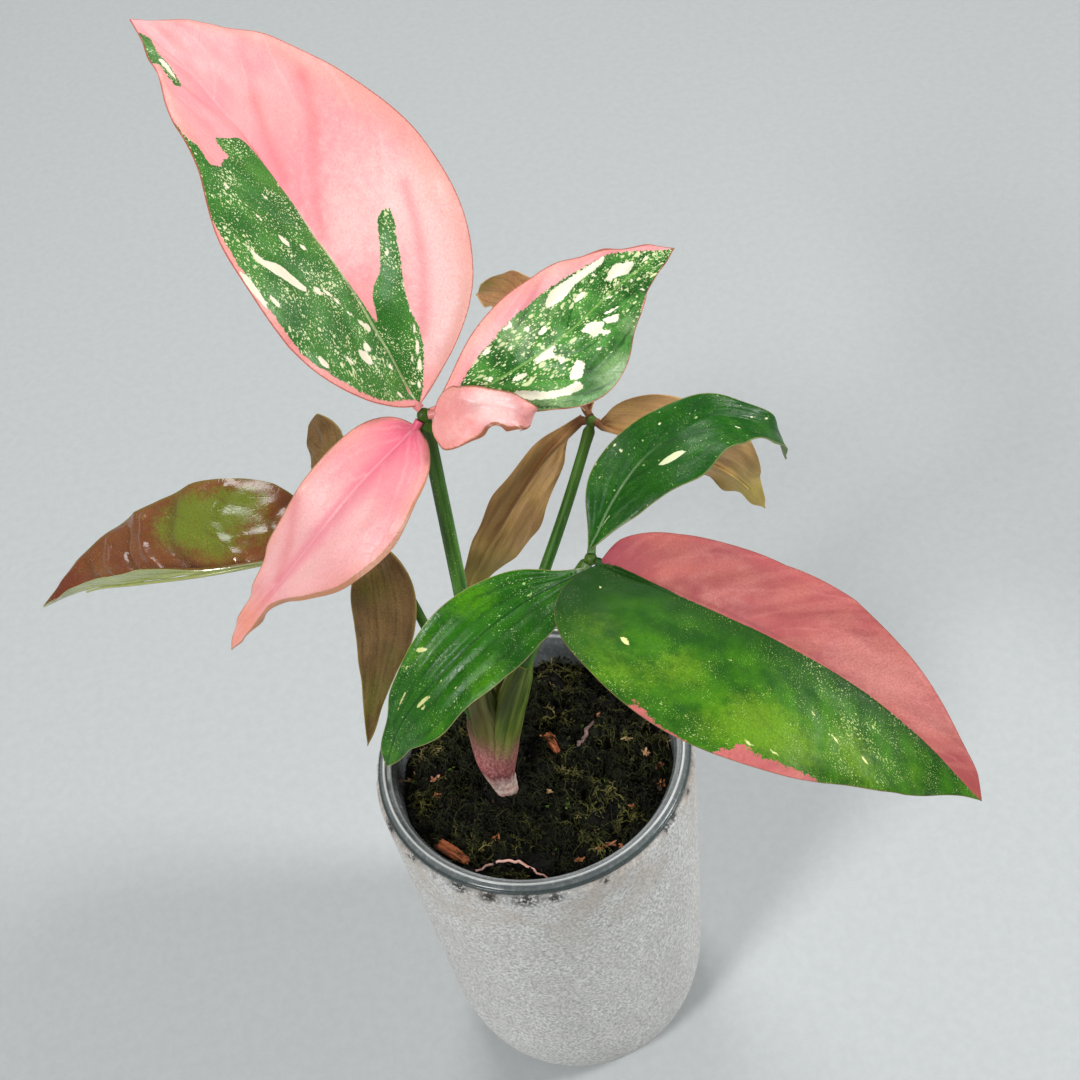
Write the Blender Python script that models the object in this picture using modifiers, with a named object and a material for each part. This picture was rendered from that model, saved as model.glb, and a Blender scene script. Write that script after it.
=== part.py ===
"""Syngonium with pink and cream marked leaves, in a clear nursery pot that hangs inside a grey outer pot.

The origin is the centre of the outer pot's foot. X runs to the right, Y to the back and Z up.
Sizes below are in millimetres; MM turns them into metres.
"""

import bmesh
import bpy
import numpy as np
from mathutils import Vector
from mathutils.bvhtree import BVHTree

MM = 0.001
GAP = 0.3
WELD = 0.0001
ROUND_STEPS = 40

# Outer pot: a plain cup with a rounded foot
FOOT_RADIUS = 33.0
FOOT_HEIGHT = 34.6
SHOULDER_RADIUS = 43.2
RIM_RADIUS = 47.3
RIM_HEIGHT = 135.7
RIM_ROUND = 1.5
POT_WALL = 4.3
POT_FLOOR = 6.0

# Nursery pot: thin plastic, hung by its lip on the outer pot's rim
LIP_RADIUS = 45.0
LIP_HEIGHT = 139.0
LIP_SKIRT = 46.2
LIP_INSIDE = 41.8
NURSERY_TOP = 42.3
NURSERY_BASE = 35.5
NURSERY_FLOOR = 52.0
NURSERY_WALL = 1.0
DRAIN_HOLES = 6
DRAIN_RADIUS = 3.2
DRAIN_RING = 22.0

# Substrate: dark moss and peat, a little below the lip
SOIL_TOP = 128.0
SOIL_CLEAR = 0.5
STEM_PLACE = (-10.1, -3.4)
STEM_RADIUS = 3.7
STEM_DEPTH = 13.0

# Leaf blades
EDGE_THICK = 0.75
RIB_THICK = 1.5
ALONG = (0.0, 0.08, 0.2, 0.35, 0.5, 0.65, 0.8, 0.92, 1.0)
BLADE_ROWS = 13
BLADE_COLUMNS = 8

# Leaf stalks
SOCKET_DEPTH = 4.0
SOCKET_CLEAR = 0.35
KNOB_RADIUS = 2.4
SHEATH_START = 15.5
NOTCH = 11.0

# Each stalk: route from the crown to the knob under its blades, where its sheath ends
# (share of the length), its radius, and the sheath's radii
STALKS = {
    "a": dict(
        route=((-10.1, -3.4, 116), (-10.5, -3, 145), (-10.2, -1, 178), (-9, 3.5, 208), (-8, 7.5, 240),
               (-7, 10.5, 270)),
        sheath=0.44, radius=2.1, wraps=(3.4, 4.3, 4.4, 3.1)),
    "b": dict(
        route=((-10.1, -3.4, 116), (-8.6, -4.2, 145), (-2, -4.6, 172), (7, -4.6, 194), (17, -5, 212),
               (25.3, -6.5, 224.5)),
        sheath=0.62, radius=1.9, wraps=(3.4, 4.2, 4.2, 2.9)),
    "c": dict(
        route=((-10.1, -3.4, 116), (-8.8, -1.2, 145), (-2, 4, 172), (10, 12, 192), (24, 24.5, 212),
               (35.5, 37.5, 228)),
        sheath=0.46, radius=1.7, wraps=(3.4, 4.0, 3.8, 2.6)),
    "d": dict(
        route=((-10.1, -3.4, 116), (-12.4, -3, 142), (-15, 3.5, 163), (-20, 15.5, 178), (-24, 24, 192),
               (-31, 35, 208)),
        sheath=0.42, radius=1.5, wraps=(3.4, 3.9, 3.4, 2.4)),
}

# Each blade: midrib from base to tip; the way its upper face looks at base and tip; how far the left
# and right halves fold up from the midrib (degrees); the slant of its side veins at base and tip
# (degrees, minus is backward); and its half widths at the places in ALONG, the last being the tip
BLADES = {
    "leaf_a_middle": dict(
        midrib=((-8, 12, 273), (-14.5, 23, 294), (-23, 37, 312.5), (-33, 56, 326), (-43, 78, 333),
                (-55, 100, 336)),
        facing=((0.45, -0.5, 0.8), (0.35, -0.5, 0.8)),
        fold_left=(12, 18, 8), fold_right=(12, 18, 8), slant=(-60, 35),
        left=(0.8, 10, 22, 26, 19.5, 14, 8, 3, 0), right=(0.8, 11, 28, 35, 30.5, 24, 14.5, 6.5, 0)),
    "leaf_a_right": dict(
        midrib=((-3.7, 11, 270.3), (13, 13.5, 273.5), (29.5, 23, 273), (42, 37, 269), (53.5, 51, 264),
                (67, 64, 258)),
        facing=((0.1, -0.45, 1), (0.25, -0.35, 1)),
        fold_left=(15, 10, 6), fold_right=(-24, -8, 6), slant=(-50, 35),
        left=(0.8, 5.5, 13, 17, 16, 13, 8.5, 4, 0), right=(0.8, 3, 10, 18, 14, 9.5, 5.5, 2.5, 0)),
    "leaf_a_ear": dict(
        midrib=((-4.3, 8.6, 271.3), (0.5, 4.5, 274.5), (6.5, 2.5, 276), (12, 1.5, 274.5), (15.3, 1.5, 271),
                (17, 2.5, 266.5)),
        facing=((0, -0.8, 1), (0.5, -0.6, 0.7)),
        fold_left=(10, 12, 8), fold_right=(10, 12, 8), slant=(-50, 30),
        left=(0.8, 3, 6, 5.5, 4.5, 4.5, 4.5, 4, 0), right=(0.8, 5, 9, 7.5, 5, 5, 3.5, 2, 0)),
    "leaf_a_left": dict(
        midrib=((-10.1, 8.6, 268.4), (-23.5, -1, 266), (-37.5, -6.5, 256.5), (-50, -6.5, 243),
                (-60.5, -3, 228.5), (-70, 1, 213)),
        facing=((-0.1, -0.5, 1), (-0.55, -0.75, 0.8)),
        fold_left=(5, 8, 5), fold_right=(5, 8, 5), slant=(-60, 35),
        left=(0.8, 8.5, 15, 16, 9.5, 3.5, 2.5, 1.5, 0), right=(0.8, 8.5, 11, 10.5, 9, 6, 4, 2.5, 0)),
    "leaf_b_middle": dict(
        midrib=((27.5, -9.5, 225), (41.5, -24.5, 226.5), (60, -40.5, 223.5), (78, -54, 213.5),
                (93.5, -66, 198), (106, -73, 178)),
        facing=((-0.1, -0.55, 0.9), (0.25, -0.7, 0.8)),
        fold_left=(15, 15, 6), fold_right=(22, 15, 6), slant=(-65, 35),
        left=(0.8, 9.5, 16.5, 20, 17.5, 14, 8.5, 5, 0), right=(0.8, 20, 30, 34, 29, 21.5, 12, 4, 0)),
    "leaf_b_left": dict(
        midrib=((22.7, -9.2, 223.8), (8, -9.5, 218.5), (-8, -15.5, 214.5), (-22, -20, 206),
                (-32.5, -20.5, 192.5), (-39, -21.5, 178)),
        facing=((-0.1, -0.4, 1), (-0.5, -0.7, 0.7)),
        fold_left=(10, 10, 8), fold_right=(10, 10, 8), slant=(-25, 35),
        left=(0.8, 4, 9, 13.5, 13.5, 12, 7, 3.5, 0), right=(0.8, 3, 9, 12.5, 11.5, 8.5, 4.5, 3, 0)),
    "leaf_b_upper": dict(
        midrib=((25.8, -5.5, 228), (34, 1.5, 235.5), (46, 8, 243), (63, 11.5, 246), (77.5, 11, 238),
                (82.5, 14, 222)),
        facing=((-0.2, -0.3, 1), (0.3, -0.2, 1)),
        fold_left=(16, 14, 10), fold_right=(16, 14, 10), slant=(-50, 35),
        left=(0.8, 3.5, 8.5, 8.5, 7.5, 5.5, 4, 2.5, 0), right=(0.8, 4, 9, 15.5, 14, 8, 4, 2, 0)),
    "leaf_c_left": dict(
        midrib=((33.5, 40.9, 227.4), (22, 40.5, 217.5), (11.5, 39.5, 204), (3.5, 41, 189), (-3, 45, 174),
                (-9, 48, 158)),
        facing=((-0.1, 1, 0), (-0.1, 1, -0.1)),
        fold_left=(5, 5), fold_right=(5, 5), slant=(-15, 30),
        left=(0.8, 2.5, 5, 6.5, 6.5, 5.5, 4, 2, 0), right=(0.8, 2, 8, 12, 14, 13, 9, 4, 0)),
    "leaf_c_right": dict(
        midrib=((38.1, 35.7, 228.7), (47, 27, 231), (56, 20, 228), (66, 20.5, 218.5), (73, 23, 207),
                (78.5, 23.5, 194)),
        facing=((0.1, 1, 0.1), (0.4, 1, -0.1)),
        fold_left=(5, 5), fold_right=(5, 5), slant=(-30, 30),
        left=(0.8, 1.5, 2.5, 4.5, 7, 7.5, 5, 3, 0), right=(0.8, 5, 13.5, 15.5, 12, 8, 4, 2, 0)),
    "leaf_c_back": dict(
        midrib=((35.3, 40.7, 229.1), (34.5, 52, 236.5), (31, 67, 238), (27.5, 82, 235), (22.5, 95.5, 230),
                (16.5, 108, 224)),
        facing=((0, -0.2, 1), (-0.2, -0.2, 1)),
        fold_left=(18, 20, 14), fold_right=(18, 20, 14), slant=(-40, 35),
        left=(0.8, 4, 9, 11.5, 12, 11, 8.5, 4.5, 0), right=(0.8, 4, 6, 7.5, 8, 7.5, 7, 4, 0)),
    "leaf_d_left": dict(
        midrib=((-34.3, 35, 208.8), (-54, 30.5, 213), (-76, 33, 211), (-95.5, 42, 203.5),
                (-112.5, 53, 193.5), (-130.5, 60, 182)),
        facing=((0, 0, 1), (0, -0.1, 1)),
        fold_left=(30, 62, 40), fold_right=(10, 15, 10), slant=(-40, 30),
        left=(0.8, 5, 9, 11, 10, 9, 6.5, 3.5, 0), right=(0.8, 10, 22.5, 27.5, 25.5, 22, 14, 5, 0)),
    "leaf_d_front": dict(
        midrib=((-31.2, 31.8, 209), (-29.5, 23, 206), (-31, 16.5, 190.5), (-36.5, 15, 173),
                (-42.5, 12, 157), (-46.5, 9, 147)),
        facing=((-0.2, -0.75, 0.6), (-0.1, -1, 0.1)),
        fold_left=(5, 5), fold_right=(5, 5), slant=(-30, 30),
        left=(0.8, 4, 8, 8, 6, 4, 2.5, 1.5, 0), right=(0.8, 5, 9, 9.5, 8, 5.5, 3.5, 1.5, 0)),
    "leaf_d_back": dict(
        midrib=((-31.3, 38.2, 208.9), (-33, 46, 213), (-35, 56, 212), (-37.5, 66, 209), (-40, 76, 206.5),
                (-43, 86, 204)),
        facing=((-0.2, -0.3, 1), (-0.3, -0.8, 0.5)),
        fold_left=(8, 8), fold_right=(8, 8), slant=(-40, 20),
        left=(0.8, 3, 5, 6.5, 7, 6.5, 5.5, 3.5, 0), right=(0.8, 4, 6, 7.5, 8, 8, 7.5, 5, 0)),
}

# Small things that lie on the substrate, as places seen from above
EXPOSED_ROOT = ((-23.5, -28.5), (-18, -28), (-13, -28), (-9.5, -30.5), (-6, -35), (-3, -36.5))
ROOT_RADIUS = 0.65
TWIG = ((13.5, 5), (16.5, 7.5), (19.5, 11.5))
TWIG_RADIUS = 0.6
CHIPS = {
    "bark_chip_front": dict(place=(-29, -21.5), size=(12, 4, 1.3), turn=-48),
    "bark_chip_right": dict(place=(6, 6.5), size=(8, 3, 1.2), turn=-71),
}

PLAIN = {
    "pot_grey": ((0.56, 0.56, 0.55), 0.85),
    "smoke_plastic": ((0.09, 0.11, 0.12), 0.25),
    "dark_moss": ((0.012, 0.010, 0.006), 0.95),
    "sheath_green": ((0.16, 0.20, 0.05), 0.45),
    "stalk_green": ((0.07, 0.24, 0.04), 0.40),
    "leaf_pink": ((0.85, 0.36, 0.38), 0.40),
    "leaf_green": ((0.03, 0.17, 0.02), 0.35),
    "leaf_tan": ((0.30, 0.19, 0.09), 0.50),
    "leaf_brown": ((0.16, 0.08, 0.04), 0.35),
    "pale_root": ((0.72, 0.45, 0.36), 0.60),
    "bark": ((0.42, 0.17, 0.07), 0.80),
}
LEAF_FINISH = {"a": "leaf_pink", "b": "leaf_green", "c": "leaf_tan", "d": "leaf_brown"}


def clear_scene():
    """Remove whatever the file holds before the plant is made."""
    for item in list(bpy.data.objects):
        bpy.data.objects.remove(item, do_unlink=True)


def new_collection(name):
    collection = bpy.data.collections.new(name)
    bpy.context.scene.collection.children.link(collection)
    return collection


def make_finish(name):
    colour, roughness = PLAIN[name]
    finish = bpy.data.materials.new(name)
    finish.use_nodes = True
    shader = finish.node_tree.nodes["Principled BSDF"]
    shader.inputs["Base Color"].default_value = (*colour, 1.0)
    shader.inputs["Roughness"].default_value = roughness
    shader.inputs["Metallic"].default_value = 0.0
    finish.diffuse_color = (*colour, 1.0)
    return finish


def add_object(name, data, collection, finish=None):
    item = bpy.data.objects.new(name, data)
    collection.objects.link(item)
    if finish is not None:
        data.materials.append(finish)
    return item


def as_guide(item):
    item.hide_render = True
    item.display_type = "WIRE"
    return item


def evaluated_mesh(item):
    """The item's mesh with its modifiers or bevel applied, welded."""
    graph = bpy.context.evaluated_depsgraph_get()
    mesh = bpy.data.meshes.new_from_object(item.evaluated_get(graph))
    shape = bmesh.new()
    shape.from_mesh(mesh)
    bmesh.ops.remove_doubles(shape, verts=shape.verts, dist=WELD * 0.1)
    shape.to_mesh(mesh)
    shape.free()
    return mesh


def shade(item, angle=40.0):
    item.data.shade_smooth()
    item.data.set_sharp_from_angle(angle=np.radians(angle))


def smooth_read(places, values, at):
    """Read a smooth curve through values, given at places, at new places."""
    places = np.asarray(places, float)
    values = np.asarray(values, float)
    at = np.asarray(at, float)
    slopes = np.gradient(values, places, axis=0)
    left = np.clip(np.searchsorted(places, at, side="right") - 1, 0, len(places) - 2)
    step = places[left + 1] - places[left]
    share = (at - places[left]) / step
    if values.ndim > 1:
        share = share[:, None]
        step = step[:, None]
    start = (2 * share**3 - 3 * share**2 + 1) * values[left]
    start_slope = (share**3 - 2 * share**2 + share) * step * slopes[left]
    end = (-2 * share**3 + 3 * share**2) * values[left + 1]
    end_slope = (share**3 - share**2) * step * slopes[left + 1]
    return start + start_slope + end + end_slope


def smooth_path(points, shares):
    """Points on a smooth curve through points, at shares of its length."""
    points = np.asarray(points, float)
    chord = np.concatenate(([0.0], np.cumsum(np.linalg.norm(np.diff(points, axis=0), axis=1))))
    chord /= chord[-1]
    fine = np.linspace(0, 1, 400)
    trial = smooth_read(chord, points, fine)
    length = np.concatenate(([0.0], np.cumsum(np.linalg.norm(np.diff(trial, axis=0), axis=1))))
    return smooth_read(chord, points, np.interp(np.asarray(shares) * length[-1], length, fine))


def path_length(points):
    fine = smooth_path(points, np.linspace(0, 1, 400))
    return np.linalg.norm(np.diff(fine, axis=0), axis=1).sum()


def unit(vectors):
    return vectors / np.linalg.norm(vectors, axis=-1, keepdims=True)


def turned(name, profile, steps, collection, finish=None):
    """A turned piece; its profile (radius, height) starts on the axis or runs down the outside."""
    mesh = bpy.data.meshes.new(name)
    points = [(radius * MM, 0.0, height * MM) for radius, height in profile]
    mesh.from_pydata(points, [(i, i + 1) for i in range(len(points) - 1)], [])
    item = add_object(name, mesh, collection, finish)
    screw = item.modifiers.new("turn", "SCREW")
    screw.steps = steps
    screw.render_steps = steps
    screw.use_merge_vertices = True
    screw.merge_threshold = WELD * 0.1
    screw.use_smooth_shade = True
    return item


def arc(centre, radii, start, end, count):
    """Points on a quarter ellipse or less, angles in degrees from the outward side."""
    angles = np.radians(np.linspace(start, end, count))
    return [(centre[0] + radii[0] * np.cos(a), centre[1] + radii[1] * np.sin(a)) for a in angles]


def cut(item, cutter):
    bite = item.modifiers.new("cut", "BOOLEAN")
    bite.operation = "DIFFERENCE"
    bite.solver = "EXACT"
    bite.object = cutter
    as_guide(cutter)


def tube(name, points, radii, collection, finish=None, resolution=2):
    """A closed round tube along points (mm), as a welded mesh."""
    curve = bpy.data.curves.new(name, "CURVE")
    curve.dimensions = "3D"
    curve.bevel_depth = MM
    curve.bevel_resolution = resolution
    curve.use_fill_caps = True
    spline = curve.splines.new("POLY")
    spline.points.add(len(points) - 1)
    for place, point, radius in zip(spline.points, points, radii):
        place.co = (*(np.asarray(point) * MM), 1.0)
        place.radius = radius
    source = add_object(name + "_route", curve, collection)
    mesh = evaluated_mesh(source)
    bpy.data.objects.remove(source, do_unlink=True)
    bpy.data.curves.remove(curve)
    mesh.name = name
    mesh.materials.clear()
    return add_object(name, mesh, collection, finish)


def join_into(item, others, scrap):
    """Fuse the others into the item as one body, and remove them."""
    group = bpy.data.collections.new(item.name + "_joined")
    scrap.children.link(group)
    for other in others:
        for home in list(other.users_collection):
            home.objects.unlink(other)
        group.objects.link(other)
    fuse = item.modifiers.new("fuse", "BOOLEAN")
    fuse.operation = "UNION"
    fuse.solver = "EXACT"
    fuse.operand_type = "COLLECTION"
    fuse.collection = group
    mesh = evaluated_mesh(item)
    item.modifiers.clear()
    item.data = mesh
    for other in others:
        bpy.data.objects.remove(other, do_unlink=True)
    bpy.data.collections.remove(group)


def outer_pot(parts, finishes):
    inner_rim = RIM_RADIUS - POT_WALL
    inner_shoulder = SHOULDER_RADIUS - POT_WALL
    profile = [(0.0, POT_FLOOR), (FOOT_RADIUS - POT_WALL, POT_FLOOR)]
    profile += arc((FOOT_RADIUS - POT_WALL, FOOT_HEIGHT),
                   (inner_shoulder - FOOT_RADIUS + POT_WALL, FOOT_HEIGHT - POT_FLOOR), -60, 0, 4)
    top_inside = (inner_rim + RIM_ROUND, RIM_HEIGHT - RIM_ROUND)
    top_outside = (RIM_RADIUS - RIM_ROUND, RIM_HEIGHT - RIM_ROUND)
    profile += arc(top_inside, (RIM_ROUND, RIM_ROUND), 180, 90, 3)
    profile += arc(top_outside, (RIM_ROUND, RIM_ROUND), 90, 0, 3)
    profile += arc((FOOT_RADIUS, FOOT_HEIGHT), (SHOULDER_RADIUS - FOOT_RADIUS, FOOT_HEIGHT), 0, -90, 8)
    profile += [(0.0, 0.0)]
    return turned("outer_pot", profile, ROUND_STEPS, parts, finishes["pot_grey"])


def nursery_radius(height):
    """The nursery pot's outer radius below its lip."""
    share = (height - NURSERY_FLOOR) / (RIM_HEIGHT - NURSERY_FLOOR)
    return NURSERY_BASE + (NURSERY_TOP - NURSERY_BASE) * share


def nursery_pot(parts, cutters, finishes):
    under_lip = RIM_HEIGHT + GAP
    profile = [
        (0.0, NURSERY_FLOOR + NURSERY_WALL),
        (NURSERY_BASE - NURSERY_WALL, NURSERY_FLOOR + NURSERY_WALL),
        (nursery_radius(under_lip) - NURSERY_WALL, under_lip),
        (LIP_INSIDE, LIP_HEIGHT - 1.6),
        (LIP_INSIDE + 0.8, LIP_HEIGHT - 0.9),
        (LIP_RADIUS - 0.9, LIP_HEIGHT - 0.2),
        (LIP_RADIUS, LIP_HEIGHT),
        (LIP_RADIUS + 0.8, LIP_HEIGHT - 0.5),
        (LIP_SKIRT, under_lip),
        (nursery_radius(under_lip) + 0.2, under_lip),
        (nursery_radius(under_lip - 1), under_lip - 1),
        (NURSERY_BASE, NURSERY_FLOOR),
        (0.0, NURSERY_FLOOR),
    ]
    item = turned("nursery_pot", profile, ROUND_STEPS, parts, finishes["smoke_plastic"])
    for number in range(DRAIN_HOLES):
        angle = 2 * np.pi * (number + 0.3) / DRAIN_HOLES
        mesh = bpy.data.meshes.new(f"drain_{number}")
        shape = bmesh.new()
        bmesh.ops.create_cone(shape, cap_ends=True, segments=12, radius1=DRAIN_RADIUS * MM,
                              radius2=DRAIN_RADIUS * MM, depth=8 * MM)
        shape.to_mesh(mesh)
        shape.free()
        hole = add_object(f"drain_{number}", mesh, cutters)
        hole.location = (DRAIN_RING * MM * np.cos(angle), DRAIN_RING * MM * np.sin(angle),
                         (NURSERY_FLOOR + NURSERY_WALL / 2) * MM)
        cut(item, hole)
    return item


def soil_relief(x, y):
    """Height of the substrate's bumps (mm) at a place seen from above."""
    broad = 0.9 * np.sin(0.19 * x + 1.3) * np.cos(0.23 * y - 0.4)
    clumps = 0.8 * np.sin(0.47 * x - 0.31 * y + 0.7) + 0.6 * np.cos(0.38 * x + 0.55 * y)
    fine = 0.45 * np.sin(0.95 * x + 0.4 * y) * np.sin(0.9 * y - 0.35 * x)
    return broad + clumps + fine


def substrate(parts, cutters, finishes):
    floor = NURSERY_FLOOR + NURSERY_WALL + SOIL_CLEAR
    bottom = NURSERY_BASE - NURSERY_WALL - SOIL_CLEAR
    top = nursery_radius(SOIL_TOP) - NURSERY_WALL - SOIL_CLEAR
    rings = np.linspace(0, top, 10)
    profile = [(radius, SOIL_TOP) for radius in rings]
    profile += [(bottom, floor), (0.0, floor)]
    rough = turned("substrate_rough", profile, ROUND_STEPS, parts)
    mesh = evaluated_mesh(rough)
    bpy.data.objects.remove(rough, do_unlink=True)
    for vertex in mesh.vertices:
        x, y, z = np.array(vertex.co) / MM
        if z > SOIL_TOP - 1:
            edge = np.clip((top - np.hypot(x, y)) / 8.0, 0.0, 1.0)
            from_stem = np.hypot(x - STEM_PLACE[0], y - STEM_PLACE[1])
            calm = (0.35 + 0.65 * edge) * np.clip((from_stem - STEM_RADIUS) / 8.0, 0.0, 1.0)
            vertex.co.z += MM * (soil_relief(x, y) * calm - 1.5 * (1 - edge))
    mesh.name = "substrate"
    item = add_object("substrate", mesh, parts, finishes["dark_moss"])
    hole_mesh = bpy.data.meshes.new("stem_hole")
    shape = bmesh.new()
    radius = (STEM_RADIUS + GAP) * MM
    bmesh.ops.create_cone(shape, cap_ends=True, segments=16, radius1=radius, radius2=radius,
                          depth=2 * STEM_DEPTH * MM)
    shape.to_mesh(hole_mesh)
    shape.free()
    hole = add_object("stem_hole", hole_mesh, cutters)
    hole.location = (STEM_PLACE[0] * MM, STEM_PLACE[1] * MM, SOIL_TOP * MM)
    cut(item, hole)
    return item


def stalk_shares(stalk):
    """Shares of the route where the socket starts and where the sheath ends."""
    length = path_length(stalk["route"])
    return stalk["sheath"] - SOCKET_DEPTH / length, stalk["sheath"]


def crown(parts, cutters, finishes):
    """The short stem with the sheaths of the four stalks grown together."""
    foot = SOIL_TOP - STEM_DEPTH + GAP
    levels = (foot, foot + 2, SOIL_TOP + 1, SOIL_TOP + 10, SOIL_TOP + 22)
    stem_radii = (STEM_RADIUS - 1.2, STEM_RADIUS - 0.2, STEM_RADIUS - 0.2, STEM_RADIUS, STEM_RADIUS - 1.2)
    stem = tube("crown", [(*STEM_PLACE, level) for level in levels], stem_radii, parts,
                finishes["sheath_green"], resolution=4)
    sheaths = []
    for letter, stalk in STALKS.items():
        start = SHEATH_START / path_length(stalk["route"])
        shares = np.linspace(start, stalk["sheath"], 9)
        radii = smooth_read((0, 0.35, 0.7, 1), stalk["wraps"], np.linspace(0, 1, 9))
        points = smooth_path(stalk["route"], shares)
        sheaths.append(tube(f"sheath_{letter}", points, radii, parts, resolution=4))
    join_into(stem, sheaths, cutters)
    for letter, stalk in STALKS.items():
        bottom, end = stalk_shares(stalk)
        shares = np.linspace(bottom, end + NOTCH / path_length(stalk["route"]), 7)
        radius = stalk["radius"] + SOCKET_CLEAR
        socket = tube(f"socket_{letter}", smooth_path(stalk["route"], shares), [radius] * 7, cutters)
        cut(stem, socket)
    return stem


def stalk_piece(letter, parts, finishes):
    """A leaf stalk that swells into a round knob under its blades."""
    stalk = STALKS[letter]
    length = path_length(stalk["route"])
    start = stalk_shares(stalk)[0] + GAP / length
    neck = 1 - 1.1 * KNOB_RADIUS / length
    shares = np.linspace(start, neck, 12)
    radii = stalk["radius"] * smooth_read((0, 0.5, 1), (1.0, 0.93, 0.88), np.linspace(0, 1, 12))
    points = smooth_path(stalk["route"], shares)
    hub = np.asarray(stalk["route"][-1], float)
    ahead = unit(hub - smooth_path(stalk["route"], [neck])[0])
    turns = np.radians((-35, 0, 35, 62, 82))
    knob = hub + np.outer(np.sin(turns) * KNOB_RADIUS, ahead)
    return tube(f"petiole_{letter}", np.vstack((points, knob)),
                np.concatenate((radii, KNOB_RADIUS * np.cos(turns))), parts, finishes["stalk_green"])


def blade_points(blade, shares, across):
    """Points (mm) on a blade's upper face; across runs from -1, the right edge, to 1, the left edge."""
    step = 0.004
    centre = smooth_path(blade["midrib"], shares)
    ahead = smooth_path(blade["midrib"], np.clip(shares + step, 0, 1))
    behind = smooth_path(blade["midrib"], np.clip(shares - step, 0, 1))
    forward = unit(ahead - behind)
    base, tip = np.asarray(blade["facing"], float)
    up = base * (1 - shares)[:, None] + tip * shares[:, None]
    up = unit(up - (up * forward).sum(axis=1, keepdims=True) * forward)
    leftward = np.cross(up, forward)
    slant_base, slant_tip = blade["slant"]
    slant = np.radians(slant_tip - (slant_tip - slant_base) * (1 - shares)**3)
    half = np.where(across >= 0, smooth_read(ALONG, blade["left"], shares),
                    smooth_read(ALONG, blade["right"], shares)) * np.abs(across)
    folds = [np.interp(shares, np.linspace(0, 1, len(blade[key])), np.radians(blade[key]))
             for key in ("fold_left", "fold_right")]
    fold = np.where(across >= 0, folds[0], folds[1])
    flat = leftward * (np.sign(across) * np.cos(slant))[:, None] + forward * np.sin(slant)[:, None]
    return centre + half[:, None] * (flat * np.cos(fold)[:, None] + up * np.sin(fold)[:, None])


def blade_piece(name, parts, finishes):
    """One leaf blade: a grid laid on the blade's surface, with its rib thicker than its edge."""
    blade = BLADES[name]
    shape = bmesh.new()
    bmesh.ops.create_grid(shape, x_segments=BLADE_COLUMNS, y_segments=BLADE_ROWS, size=1.0)
    grid = np.array([vertex.co for vertex in shape.verts])
    shares = (grid[:, 1] + 1) / 2
    shares = shares**1.15
    places = blade_points(blade, shares, -grid[:, 0]) * MM
    weights = 1 - (1 - EDGE_THICK / RIB_THICK) * np.minimum(1.0, 3 * np.abs(grid[:, 0]) + 0.8 * shares)
    layer = shape.verts.layers.deform.new()
    for vertex, place, weight in zip(shape.verts, places, weights):
        vertex.co = place
        vertex[layer][0] = float(weight)
    tip = [vertex for vertex, share in zip(shape.verts, shares) if share > 0.999]
    bmesh.ops.pointmerge(shape, verts=tip, merge_co=tip[0].co)
    bmesh.ops.triangulate(shape, faces=shape.faces)
    mesh = bpy.data.meshes.new(name)
    shape.to_mesh(mesh)
    shape.free()
    item = add_object(name, mesh, parts, finishes[LEAF_FINISH[name.split("_")[1]]])
    item.vertex_groups.new(name="thick")
    body = item.modifiers.new("thickness", "SOLIDIFY")
    body.thickness = RIB_THICK * MM
    body.offset = -1.0
    body.vertex_group = "thick"
    body.use_quality_normals = True
    mesh.shade_smooth()
    return item


def soil_finder(soil):
    """A function that gives the substrate's highest point (mm) under a list of places."""
    mesh = evaluated_mesh(soil)
    tree = BVHTree.FromPolygons([vertex.co for vertex in mesh.vertices],
                                [list(face.vertices) for face in mesh.polygons])
    bpy.data.meshes.remove(mesh)

    def highest(places):
        spots = [Vector((x, y, SOIL_TOP + 20)) * MM for x, y in places]
        return max(tree.ray_cast(spot, Vector((0, 0, -1)))[0].z for spot in spots) / MM

    return highest


def laid_strand(name, places, radius, soil_top, parts, finish):
    """A thin root or twig that lies along the substrate."""
    flat = smooth_path([(x, y, 0) for x, y in places], np.linspace(0, 1, 12))
    points = []
    for x, y, _ in flat:
        around = [(x + a * 2 * radius, y + b * 2 * radius) for a in (-1, 0, 1) for b in (-1, 0, 1)]
        points.append((x, y, soil_top(around) + radius + GAP))
    radii = radius * smooth_read((0, 0.5, 1), (0.8, 1.0, 0.6), np.linspace(0, 1, 12))
    return tube(name, points, radii, parts, finish)


def bark_chip(name, soil_top, parts, finish):
    """A flat flake, narrower at one end, that lies on the substrate."""
    chip = CHIPS[name]
    length, width, thick = chip["size"]
    mesh = bpy.data.meshes.new(name)
    shape = bmesh.new()
    bmesh.ops.create_cube(shape, size=1.0)
    bmesh.ops.scale(shape, vec=Vector(chip["size"]) * MM, verts=shape.verts)
    for vertex in shape.verts:
        if vertex.co.x > 0:
            vertex.co.y *= 0.55
    shape.to_mesh(mesh)
    shape.free()
    item = add_object(name, mesh, parts, finish)
    turn = np.radians(chip["turn"])
    steps = np.linspace(-0.5, 0.5, 7)
    under = [(chip["place"][0] + a * length * np.cos(turn) - b * width * np.sin(turn),
              chip["place"][1] + a * length * np.sin(turn) + b * width * np.cos(turn))
             for a in steps for b in steps]
    item.location = Vector((*chip["place"], soil_top(under) + thick / 2 + 1.5 * GAP)) * MM
    item.rotation_euler = (0, 0, turn)
    soft = item.modifiers.new("worn edges", "BEVEL")
    soft.width = 0.35 * MM
    soft.segments = 1
    return item


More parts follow.
